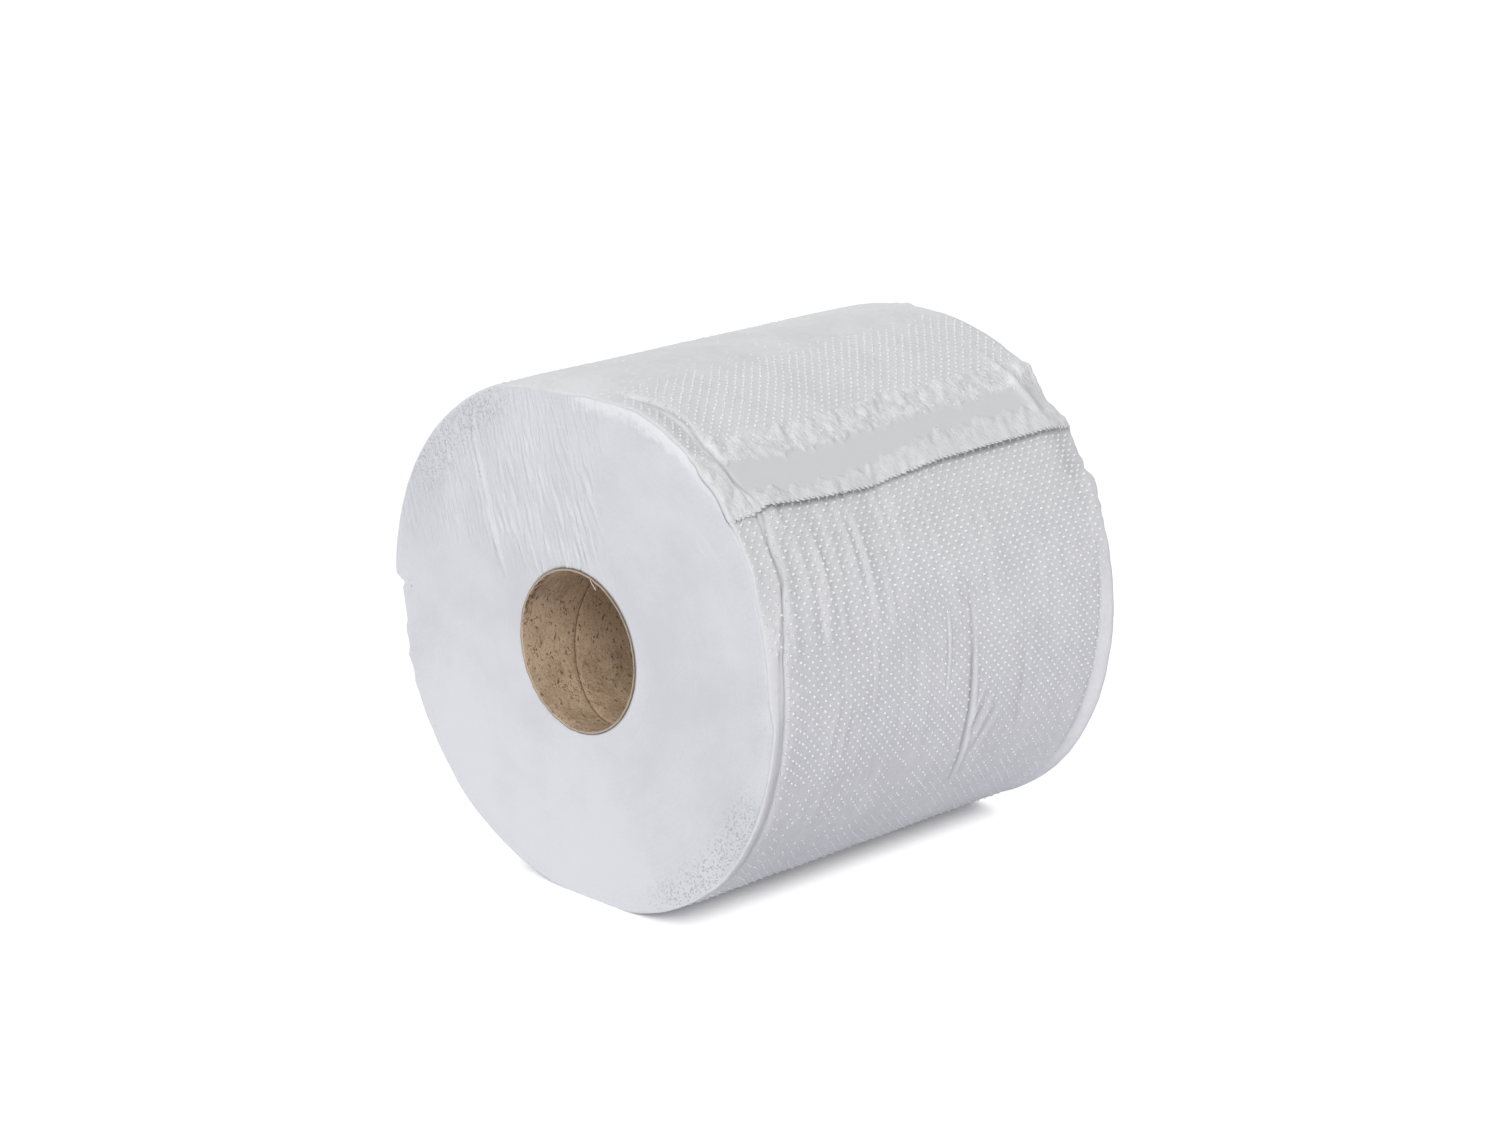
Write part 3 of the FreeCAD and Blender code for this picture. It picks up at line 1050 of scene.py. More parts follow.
@dataclass(frozen=True)
class SawnEnd:
    """The ends of the roll: the sawn edges of a few hundred turns."""

    shade: Colour = (0.745, 0.757, 0.777, 1.0)
    pale: Colour = (0.845, 0.857, 0.877, 1.0)
    fluffed: Colour = (0.94, 0.945, 0.955, 1.0)
    painted_shade_grey: Colour = (0.33, 0.34, 0.37, 1.0)
    pit_depth: float = 0.0007
    fibre_lean: float = 16.0

    def pits(self, graph: Graph, where: RollCoordinates) -> Wire:
        """Small pits where the end is worn, near the rim at the lower right and at the upper left: a mask for
        their bump and for painted shade in them.
        """
        low_right = graph.between(where.angle, (-1.25, -0.95), (-0.50, -0.28))
        top_left = graph.between(where.angle, (1.9, 2.1), (2.5, 2.75)) * 0.75
        worn = graph.ramp(where.radius, 0.081, 0.092) * (graph.greatest(low_right, top_left) + 0.12)
        specks = graph.ramp(graph.noise(where.point, 1250.0, 2.0, 0.6), 0.565, 0.605)
        return specks * graph.math("MINIMUM", worn, 1.0)

    def drawn(self, graph: Graph, where: RollCoordinates) -> Wire:
        """Fibres that the saw has drawn out across the upper left part, leaning from the upright."""
        lean = math.radians(self.fibre_lean)
        aside = where.across * math.cos(lean) + where.up * math.sin(lean)
        down = where.up * math.cos(lean) - where.across * math.sin(lean)
        grain = graph.noise(graph.combined(aside * 700.0, down * 90.0), 1.0)
        upper_left = graph.ramp(where.up, 0.010, 0.035) * graph.ramp(where.across, 0.030, 0.0)
        return graph.ramp(grain, 0.44, 0.62) * upper_left

    def fluff(self, graph: Graph, where: RollCoordinates, inside: Wire) -> Wire:
        """White fluff that hangs over the rim's top, with a torn inner edge."""
        torn = graph.noise(where.point, 150.0, 4.0, 0.7) - 0.5
        return (graph.ramp(inside + torn * 15.0, 5.4, 2.2)
                * graph.between(where.angle, (0.84, 1.0), (1.50, 1.66)))

    def material(self) -> bpy.types.Material:
        """Builds the material: a clouded end with painted light, paler towards the bottom than the middle,
        with pits, fluff, and painted shade in the pits and in a gap inside the rim.
        """
        material, graph = new_material("sawn_paper_end")
        where = RollCoordinates(graph, MEAN_RADIUS * MM)
        inside = graph.attribute("inside")
        cloud = graph.noise(where.point, 38.0, 4.0, 0.55)
        fuzz = graph.noise(where.point, 1700.0, 4.0, 0.65)
        rings = graph.out("ShaderNodeTexNoise", {"W": where.radius * 900.0, "Scale": 1.0, "Detail": 3.0,
                                                 "Roughness": 0.7}, noise_dimensions="1D")
        pits = self.pits(graph, where)

        tone = cloud * 0.6 + (rings * 0.1 + fuzz * 0.3)
        # Painted light: the end is paler towards the bottom, and a little towards the top, than across the
        # middle.
        lean = where.across * 0.25 + where.up * 0.97
        painted_light_falloff = graph.ramp(abs(lean), 0.010, 0.080, -0.04, 0.12) + lean * -0.85
        # Painted shade: a dark line in the gap just inside the rim at the upper right, where the outer sheet
        # parts from the turns below.
        painted_gap_shade = (graph.ramp(abs(inside - 0.45), 0.45, 0.10)
                  * graph.between(where.angle, (0.62, 0.70), (0.88, 1.0)))
        colour = graph.blend(graph.ramp(tone + painted_light_falloff, 0.30, 0.70), self.shade, self.pale)
        colour = graph.stained(colour, (self.fluff(graph, where, inside) * 0.9, self.fluffed),
                               (graph.greatest(pits * 0.44, painted_gap_shade * 0.5), self.painted_shade_grey))
        height = (fuzz * 0.35 + self.drawn(graph, where) * 0.5) + (rings * 0.12 - pits * 0.6)
        principled(graph, colour, 0.95, graph.bumps((0.6, self.pit_depth, height)),
                   Specular_IOR_Level=0.2, Sheen_Weight=0.05)
        return material


@dataclass(frozen=True)
class Paperboard:
    """Grey-brown recycled board of the core, with the seam of its spiral ply."""

    name: str = "core_paperboard"
    dark: Colour = (0.45, 0.335, 0.225, 1.0)
    light: Colour = (0.72, 0.56, 0.395, 1.0)
    outer_ply: Colour = (0.20, 0.15, 0.10, 1.0)
    cut: Colour = (0.50, 0.435, 0.36, 1.0)
    cream: Colour = (0.66, 0.57, 0.44, 1.0)
    fleck: Colour = (0.150, 0.075, 0.040, 1.0)
    bore_radius: float = CORE_BORE * MM
    seam_pitch: float = SEAM_PITCH * MM
    seam_turn: float = SEAM_ANGLE / FULL_TURN

    def seam(self, graph: Graph, where: RollCoordinates, fibre: Wire) -> Wire:
        """The rubbed line along the helical joint of the inner ply."""
        climb = (where.angle / math.tau - self.seam_turn) * self.seam_pitch
        past = where.along + climb - AXIS.front * MM
        past = abs(graph.math("WRAP", past, self.seam_pitch / 2, -self.seam_pitch / 2))
        return graph.ramp(past + (fibre - 0.5) * 0.0006, 0.0005, 0.0002)

    def nicks(self, graph: Graph, where: RollCoordinates) -> Wire:
        """Bruised spots at the upper left of the front mouth."""
        place = graph.ramp(where.along, -0.0842, -0.0858) * graph.between(where.angle, (1.8, 2.1), (2.8, 3.0))
        return place * graph.ramp(where.sheet_noise(420.0, 600.0, 3.0, 0.7), 0.46, 0.56)

    def cut_edge(self, graph: Graph, where: RollCoordinates, fibre: Wire) -> tuple[Wire, Wire]:
        """The share of the sawn edge of the wall, and its colour, darker in the outer ply."""
        bore = self.bore_radius
        outer = graph.ramp(where.radius + fibre * 0.0003, bore + 0.00080, bore + 0.00095)
        share = graph.ramp(where.radius, bore + 0.00012, bore + 0.00018)
        share = share * graph.ramp(abs(where.along), 0.0855, 0.0862)
        return share, graph.blend(outer, self.cut, self.outer_ply)

    def material(self) -> bpy.types.Material:
        """Builds the material: streaked board with dark and pale flecks, its seam, its cut edges, and painted
        light on the bore's left wall.
        """
        material, graph = new_material(self.name)
        where = RollCoordinates(graph, self.bore_radius)
        cloud = graph.noise(where.point, 90.0, 4.0, 0.6)
        streak = where.sheet_noise(380.0, 620.0, 4.0, 0.7)
        fibre = where.sheet_noise(1500.0, 2400.0, 3.0, 0.6)
        flecks = graph.noise(where.point, 1150.0, 3.0, 0.7)
        clusters = graph.ramp(graph.noise(where.point, 150.0), 0.50, 0.68)

        tone = cloud * 0.40 + (streak * 0.3 + fibre * 0.30)
        # Painted light: the bore's left wall, which faces the key lamp, is made paler.
        facing = graph.ramp(abs(where.angle), 2.5, 3.05, 0.0, 0.09)
        blotches = graph.ramp(where.sheet_noise(330.0, 560.0, 3.0, 0.65), 0.58, 0.65)
        dark_flecks = graph.ramp(flecks, 0.545, 0.60) * (clusters * 0.7 + 0.3)
        pale_flecks = graph.ramp(graph.noise(where.point, 820.0, 2.0, 0.6), 0.70, 0.76)
        colour = graph.blend(graph.ramp(tone + facing, 0.41, 0.59), self.dark, self.light)
        colour = graph.stained(colour, (blotches * 0.75, self.fleck), (dark_flecks, self.fleck),
                               (pale_flecks * 0.5, self.cream),
                               (self.seam(graph, where, fibre) * 0.6, self.fleck),
                               (self.nicks(graph, where) * 0.8, self.fleck),
                               self.cut_edge(graph, where, fibre))
        normal = graph.bumps((0.5, 0.00012, fibre + streak * 0.8), (0.4, 0.0001, flecks))
        principled(graph, colour, graph.ramp(fibre, 0.3, 0.7, 0.78, 0.92), normal, Specular_IOR_Level=0.3)
        return material


class Finishes:
    """The object's materials, made once."""

    def __init__(self) -> None:
        """Builds each finish."""
        self.towel = TowelPaper().material()
        # The dots' paper is paler than the sheet's: a painted highlight on their raised tops.
        self.dots = TowelPaper("dot_paper_painted_highlight", (0.93, 0.932, 0.94, 1.0), (0.99, 0.99, 0.995, 1.0),
                               mottle_height=0.00005).material()
        self.sawn = SawnEnd().material()
        self.board = Paperboard().material()
        self.cream = Paperboard("torn_board", dark=(0.62, 0.53, 0.41, 1.0),
                                light=(0.78, 0.70, 0.58, 1.0)).material()


# ---------------------------------------------------------------------------------------------------
# Meshes


def link_object(name: str, data: bpy.types.ID) -> bpy.types.Object:
    """A new object at the origin that shows a mesh, a lamp or a camera."""
    made = bpy.data.objects.new(name, data)
    bpy.context.scene.collection.objects.link(made)
    return made


# Material slots of the wound paper's mesh.
OUTSIDE, SAWN = 0, 1


def grid_faces(rows: int, columns: int, closed: bool, flipped: bool = False) -> list[tuple[int, ...]]:
    """The quads of a grid of vertices numbered row by row.

    Args:
        rows: Rows of vertices.
        columns: Vertices in each row.
        closed: Whether the last column joins the first.
        flipped: Whether the faces turn the other way.

    Returns:
        The faces as vertex numbers.
    """
    faces = []
    for row in range(rows - 1):
        for column in range(columns if closed else columns - 1):
            beside = (column + 1) % columns
            quad = (row * columns + column, row * columns + beside,
                    (row + 1) * columns + beside, (row + 1) * columns + column)
            faces.append(quad[::-1] if flipped else quad)
    return faces


@dataclass
class Patches:
    """Gathers patches of vertices and faces into one mesh."""

    points: list[Array] = field(default_factory=list)
    faces: list[tuple[int, ...]] = field(default_factory=list)
    materials: list[int] = field(default_factory=list)
    count: int = 0
    layers: dict[str, list[Array]] = field(default_factory=dict)

    def add(self, points: Array, faces: list[tuple[int, ...]], material: int, **values: Array) -> int:
        """Adds one patch.

        Args:
            points: Its vertices in metres.
            faces: Its faces, numbered from its own first vertex.
            material: The material slot of its faces.
            values: A number for each vertex, kept under its name. Other patches hold 0 there.

        Returns:
            The number of its first vertex in the whole mesh.
        """
        start = self.count
        flat = points.reshape(-1, 3)
        for name in values:
            self.layers.setdefault(name, [np.zeros(self.count)])
        for name, held in self.layers.items():
            held.append(np.ravel(values[name]) if name in values else np.zeros(len(flat)))
        self.points.append(flat)
        self.faces.extend(tuple(start + vertex for vertex in face) for face in faces)
        self.materials.extend([material] * len(faces))
        self.count += len(flat)
        return start

    def bridge(self, first: int, first_angles: Array, second: int, second_angles: Array,
               material: int) -> None:
        """Joins two closed rings of vertices with triangles.

        Args:
            first: Number of the first ring's first vertex.
            first_angles: Rising angles of its vertices, over less than a turn.
            second: Number of the second ring's first vertex.
            second_angles: Rising angles of its vertices, from about the same start.
            material: The material slot of the triangles.
        """
        here, there = 0, 0
        here_count, there_count = len(first_angles), len(second_angles)
        here_ends = np.append(first_angles[1:], first_angles[0] + FULL_TURN)
        there_ends = np.append(second_angles[1:], second_angles[0] + FULL_TURN)
        made = []
        while here < here_count or there < there_count:
            steps_here = there == there_count or (here < here_count and here_ends[here] <= there_ends[there])
            if steps_here:
                made.append((first + here, first + (here + 1) % here_count, second + there % there_count))
                here += 1
            else:
                made.append((first + here % here_count, second + (there + 1) % there_count, second + there))
                there += 1
        self.faces.extend(made)
        self.materials.extend([material] * len(made))

    def mesh(self, name: str, merge: float = 1e-7) -> bpy.types.Mesh:
        """The whole mesh, its doubles merged and its faces smooth and facing out."""
        made = bpy.data.meshes.new(name)
        made.from_pydata(np.concatenate(self.points).tolist(), [], self.faces)
        made.polygons.foreach_set("material_index", self.materials)
        for layer, held in self.layers.items():
            made.attributes.new(layer, "FLOAT", "POINT").data.foreach_set(
                "value", np.concatenate(held).astype(np.float32))
        work = bmesh.new()
        work.from_mesh(made)
        bmesh.ops.remove_doubles(work, verts=work.verts, dist=merge)
        bmesh.ops.dissolve_degenerate(work, dist=merge, edges=work.edges)
        bmesh.ops.recalc_face_normals(work, faces=work.faces)
        for face in work.faces:
            face.smooth = True
        work.to_mesh(made)
        work.free()
        return made


@dataclass
class WoundPaper:
    """The web wound on the core, as one closed skin with its tail."""

    finishes: Finishes
    surface: OuterSurface = field(default_factory=OuterSurface)
    bore_radius: float = 30.05
    nominal_crease: float = 10.0
    crease_fade: float = 26.0
    rim_rows: tuple[float, ...] = (0.0, 0.15, 0.45, 0.9)
    crease_rows: tuple[float, ...] = (-2.4, -1.6, -1.0, -0.6, -0.3, 0.0, 0.3, 0.6, 1.0, 1.6, 2.4, 3.3, 4.3)
    set_back: tuple[Zone, ...] = (Zone(46.0, 88.0, 6.0, 0.8), Zone(-42.0, -4.0, 8.0, 0.8))
    under_steps: int = 8
    lip_rings: tuple[float, ...] = (0.0, 0.15, 0.35, 0.55, 0.9, 1.5, 2.4, 3.4)
    end_step: float = 0.9
    plain_end_step: float = 2.0

    def turns(self) -> Array:
        """Degrees past the tail's edge of every column on the outside, closest beside the edge."""
        outside = stepped((0.0, 20.0, 0.4), (20.0, 66.0, 1.0), (66.0, 134.0, 2.6), (134.0, 140.0, 0.5),
                          (140.0, 172.0, 1.3), (172.0, 262.0, 2.6), (262.0, 355.1, 1.0), (355.4, 359.9, 0.4))
        under = np.linspace(0.0, self.surface.tail.gap_span, self.under_steps + 1)
        return np.concatenate([outside, FULL_TURN + under])

    def nominal_depths(self) -> Array:
        """Depths of the rows, before the rows near the front follow the crease."""
        width = self.surface.form.width
        rim, crease = np.array(self.rim_rows), self.nominal_crease + np.array(self.crease_rows)
        between = stepped((2.0, 7.0, 1.1), (15.8, self.crease_fade, 1.3), (self.crease_fade, 86.0, 0.9),
                          (86.0, 116.0, 0.65), (116.0, 160.0, 1.3), (160.0, width - 1.2, 0.9))
        return np.unique(np.round(np.concatenate([rim, crease, between, width - rim]), 4))

    def depths(self, angle: Array, nominal: Array) -> Array:
        """Moves the rows near the front so that one of them runs along the crease.

        Args:
            angle: Angles of the places.
            nominal: Nominal depths of the places.

        Returns:
            The real depths.
        """
        surface = self.surface
        width = surface.form.width
        crease = surface.shoulder.crease_depth(angle)
        toward = np.where(nominal <= self.nominal_crease, nominal / self.nominal_crease,
                          1 - smooth_step(nominal, self.nominal_crease + 4.5, self.crease_fade))
        moved = nominal + (crease - self.nominal_crease) * toward
        set_back = sum(zone.at(wrapped(angle)) for zone in self.set_back)
        front = (set_back * smooth_step(nominal, 3.2, 0.0)
                 - surface.back.wander(angle, 0.0) * smooth_step(nominal, 1.5, 0.0))
        back = surface.back.wander(angle, 1.0) * smooth_step(nominal, width - 4.0, width)
        return moved + front + back

    def rounding(self, nominal: Array) -> Array:
        """How much the rim's rounding takes off at each nominal depth."""
        size = self.surface.form.rim_rounding
        width = self.surface.form.width
        inset = np.minimum(nominal, width - nominal)
        left = np.clip(size - inset, 0.0, size)
        return size - np.sqrt(size * size - left * left)

    def section_points(self, turned: Array, nominal: Array, under: bool) -> Array:
        """Points of the skin in metres.

        Args:
            turned: Degrees past the tail's edge.
            nominal: Nominal depths.
            under: Whether they lie on the underside of the loose strip.

        Returns:
            The points.
        """
        surface = self.surface
        angle = surface.tail.edge(nominal) + turned
        depth = self.depths(angle, nominal)
        angle, radius = surface.underside(turned, depth) if under else surface.radius(turned, depth)
        return AXIS.place(angle, radius - self.rounding(nominal), depth)

    def outer_grid(self) -> tuple[Array, Array, Array]:
        """The outside of the web: its points, and the turned angle and nominal depth of each."""
        turned, nominal = np.meshgrid(self.turns(), self.nominal_depths())
        return self.section_points(turned, nominal, False), turned, nominal

    def end_turns(self, end: EndSurface) -> Array:
        """Degrees past the tail's edge of an end's own columns, close together where it is creased."""
        if end.creased:
            return stepped((0.0, 22.0, 1.5), (22.0, 124.0, 0.6), (124.0, FULL_TURN, 1.5))
        return stepped((0.0, FULL_TURN, 2.0))

    @staticmethod
    def end_points(plane: float, angle: Array, reach: Array, inside: Array, depth: Array,
                   end: EndSurface, outwards: float) -> Array:
        """Places of an end's vertices.

        Args:
            plane: The depth of the end's plane in millimetres.
            angle: Angles of the vertices.
            reach: The rim's radius at each vertex.
            inside: How far each vertex lies inside the rim.
            depth: The rim's own depth at each vertex.
            end: The end's unevenness.
            outwards: -1 for the front end and 1 for the back end.

        Returns:
            The points in metres.
        """
        settle = smooth_step(inside, 0.0, 2.2)
        radius = reach - inside
        raised = outwards * end.rise(angle, radius, reach) * smooth_step(inside, 0.0, 0.12)
        return AXIS.place(angle, radius, depth * (1 - settle) + plane * settle + raised)

    def end_patch(self, patches: Patches, rim: Array, end: EndSurface, outwards: float) -> tuple[int, Array]:
        """Closes one end from the rim to the bore.

        Args:
            patches: Where the patch goes.
            rim: The rim's points, once round from the tail's edge.
            end: The end's unevenness.
            outwards: -1 for the front end and 1 for the back end.

        Returns:
            The number of the first vertex of the ring at the bore, and that ring's angles.
        """
        spoke = rim - np.array([AXIS.x, 0.0, AXIS.z]) * MM
        angle = np.degrees(np.unwrap(np.arctan2(spoke[:, 2], spoke[:, 0])))
        angle[-1] = angle[0] + FULL_TURN
        reach = np.hypot(spoke[:, 0], spoke[:, 2]) / MM
        depth = rim[:, 1] / MM - AXIS.front
        reach[-1], depth[-1] = reach[0], depth[0]
        plane = 0.0 if outwards < 0 else self.surface.form.width

        inside = np.array(self.lip_rings)[:, None] + np.zeros(len(angle))
        lip = self.end_points(plane, angle, reach, inside, depth, end, outwards)
        lip[0] = rim
        start = patches.add(lip, grid_faces(len(self.lip_rings), len(angle), False), SAWN, inside=inside)
        patches.faces.append((start, start + len(angle) - 1, start + len(angle)))
        patches.materials.append(SAWN)

        own = angle[0] + self.end_turns(end)
        own_reach, own_depth = np.interp(own, angle, reach), np.interp(own, angle, depth)
        step = self.end_step if end.creased else self.plain_end_step
        count = int((self.surface.form.mean_radius - self.bore_radius) / step)
        share = np.linspace(0.0, 1.0, count)[:, None]
        first_inside = self.lip_rings[-1] + step
        inside = first_inside + share * (own_reach - self.bore_radius - first_inside)
        points = self.end_points(plane, own, own_reach, inside, own_depth, end, outwards)
        grid = patches.add(points, grid_faces(count, len(own), True), SAWN, inside=inside)
        patches.bridge(grid - len(angle), angle[:-1], grid, own, SAWN)
        return grid + (count - 1) * len(own), own

    def build(self) -> bpy.types.Object:
        """Builds and dresses the skin."""
        surface = self.surface
        patches = Patches()
        outside, turned, nominal = self.outer_grid()
        under_turns = np.linspace(surface.tail.gap_span, 0.0, self.under_steps + 1)[1:]
        under_turned, under_nominal = np.meshgrid(under_turns, nominal[:, 0])
        skin = np.concatenate([outside, self.section_points(under_turned, under_nominal, True)], axis=1)
        full = int(np.argmin(np.abs(turned[0] - FULL_TURN)))
        for row in (0, -1):
            skin[row, -self.under_steps:] = skin[row, full:full + self.under_steps][::-1]
        shares = {"glued": surface.glued, "crumpled": surface.crumpled, "painted_shade": surface.painted_shade}
        layers = {name: np.concatenate([share(turned, nominal), np.zeros(under_turned.shape)], axis=1)
                  for name, share in shares.items()}
        patches.add(skin, grid_faces(*skin.shape[:2], True), OUTSIDE, **layers)
        front, front_angles = self.end_patch(patches, skin[0, :full + 1], EndSurface(31, True), -1.0)
        back, back_angles = self.end_patch(patches, skin[-1, :full + 1], EndSurface(41, False), 1.0)
        patches.bridge(front, front_angles, back, back_angles, SAWN)
        piece = link_object("wound_paper", patches.mesh("wound_paper"))
        for material in (self.finishes.towel, self.finishes.sawn):
            piece.data.materials.append(material)
        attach(piece, "root")
        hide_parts("paper_roll")
        return piece


# ---------------------------------------------------------------------------------------------------
# Geometry Nodes pieces


def line_mesh(name: str, points: Array, closed: bool = False, **values: Array) -> bpy.types.Mesh:
    """A line of vertices as a mesh.

    Args:
        name: Name of the mesh.
        points: The vertices in metres.
        closed: Whether the last vertex joins the first.
        values: A number or a vector for each vertex, kept under its name.

    Returns:
        The mesh.
    """
    count = len(points)
    pairs = [(place, (place + 1) % count) for place in range(count if closed else count - 1)]
    mesh = bpy.data.meshes.new(name)
    mesh.from_pydata(np.asarray(points).tolist(), pairs, [])
    for layer, held in values.items():
        kind, key = ("FLOAT", "value") if held.ndim == 1 else ("FLOAT_VECTOR", "vector")
        mesh.attributes.new(layer, kind, "POINT").data.foreach_set(key, held.astype(np.float32).ravel())
    return mesh


class GeometryRule(Graph):
    """A Geometry Nodes tree with named inputs."""

    def __init__(self, name: str) -> None:
        """Starts a tree with a geometry input and output."""
        tree = bpy.data.node_groups.new(name, "GeometryNodeTree")
        super().__init__(tree)
        self.identifiers: dict[str, str] = {}
        for way in ("INPUT", "OUTPUT"):
            tree.interface.new_socket("Geometry", in_out=way, socket_type="NodeSocketGeometry")
        self.start = tree.nodes.new("NodeGroupInput")

    @property
    def base(self) -> Wire:
        """The geometry that the tree starts from."""
        return Wire(self, self.start.outputs["Geometry"])

    def named(self, kind: str, *names: str) -> list[Wire]:
        """Adds named inputs of one kind and returns their wires."""
        for name in names:
            made = self.tree.interface.new_socket(name, in_out="INPUT", socket_type="NodeSocket" + kind)
            self.identifiers[name] = made.identifier
        return [Wire(self, self.start.outputs[name]) for name in names]

    def smooth(self, mesh: Wire, faces: object = True) -> Wire:
        """The same mesh, with those faces shaded smooth and the others flat."""
        return self.out("GeometryNodeSetShadeSmooth", {"Geometry": mesh, "Shade Smooth": faces})

    def stored(self, name: str, kind: str = "FLOAT") -> Wire:
        """A named attribute's value."""
        return self.out("GeometryNodeInputNamedAttribute", {"Name": name}, data_type=kind)

    def store(self, geometry: Wire, name: str, value: Wire, kind: str = "FLOAT") -> Wire:
        """The same geometry, with the value kept on its points as a named attribute."""
        return self.out("GeometryNodeStoreNamedAttribute",
                        {"Geometry": geometry, "Name": name, "Value": value}, data_type=kind)

    def placed(self, geometry: Wire, position: Wire) -> Wire:
        """The same geometry, with its points at that position."""
        return self.out("GeometryNodeSetPosition", {"Geometry": geometry, "Position": position})

    def random(self, low: object, high: object, seed: Wire, kind: str = "FLOAT") -> Wire:
        """A random value for each point."""
        return self.out("FunctionNodeRandomValue", {"Min": low, "Max": high, "Seed": seed}, data_type=kind)

    def facing(self, outward: Wire, ahead: object, axis: str) -> Wire:
        """A rotation that sets Z outward and turns another axis towards the direction ahead."""
        upright = self.out("FunctionNodeAlignRotationToVector", {"Vector": outward}, axis="Z")
        return self.out("FunctionNodeAlignRotationToVector", {"Rotation": upright, "Vector": ahead},
                        axis=axis, pivot_axis="Z")

    def copies(self, instance: Wire, points: Wire, rotation: Wire, scale: Wire, **more: Wire) -> Wire:
        """One instance on each point."""
        return self.out("GeometryNodeInstanceOnPoints", {"Points": points, "Instance": instance,
                                                         "Rotation": rotation, "Scale": scale, **more})

    def finish(self, geometry: Wire, material: Wire) -> None:
        """Realizes the instances, sets the material and ends the tree."""
        real = self.out("GeometryNodeRealizeInstances", {0: geometry})
        self.node("NodeGroupOutput", {0: self.out("GeometryNodeSetMaterial", {"Geometry": real,
                                                                              "Material": material})})

    def apply(self, base: bpy.types.Mesh, name: str, **values: object) -> bpy.types.Object:
        """Runs the tree on a base mesh and keeps the result as a plain mesh.

        Args:
            base: The mesh that the tree starts from.
            name: Name of the finished piece.
            values: A value for each named input.

        Returns:
            The finished object, with no modifier.
        """
        carrier = link_object(name + "_base", base)
        modifier = carrier.modifiers.new(name, "NODES")
        modifier.node_group = self.tree
        for key, value in values.items():
            modifier[self.identifiers[key]] = value
        graph = bpy.context.evaluated_depsgraph_get()
        graph.update()
        mesh = bpy.data.meshes.new_from_object(carrier.evaluated_get(graph), depsgraph=graph)
        mesh.name = name
        bpy.data.objects.remove(carrier)
        bpy.data.meshes.remove(base)
        return link_object(name, mesh)


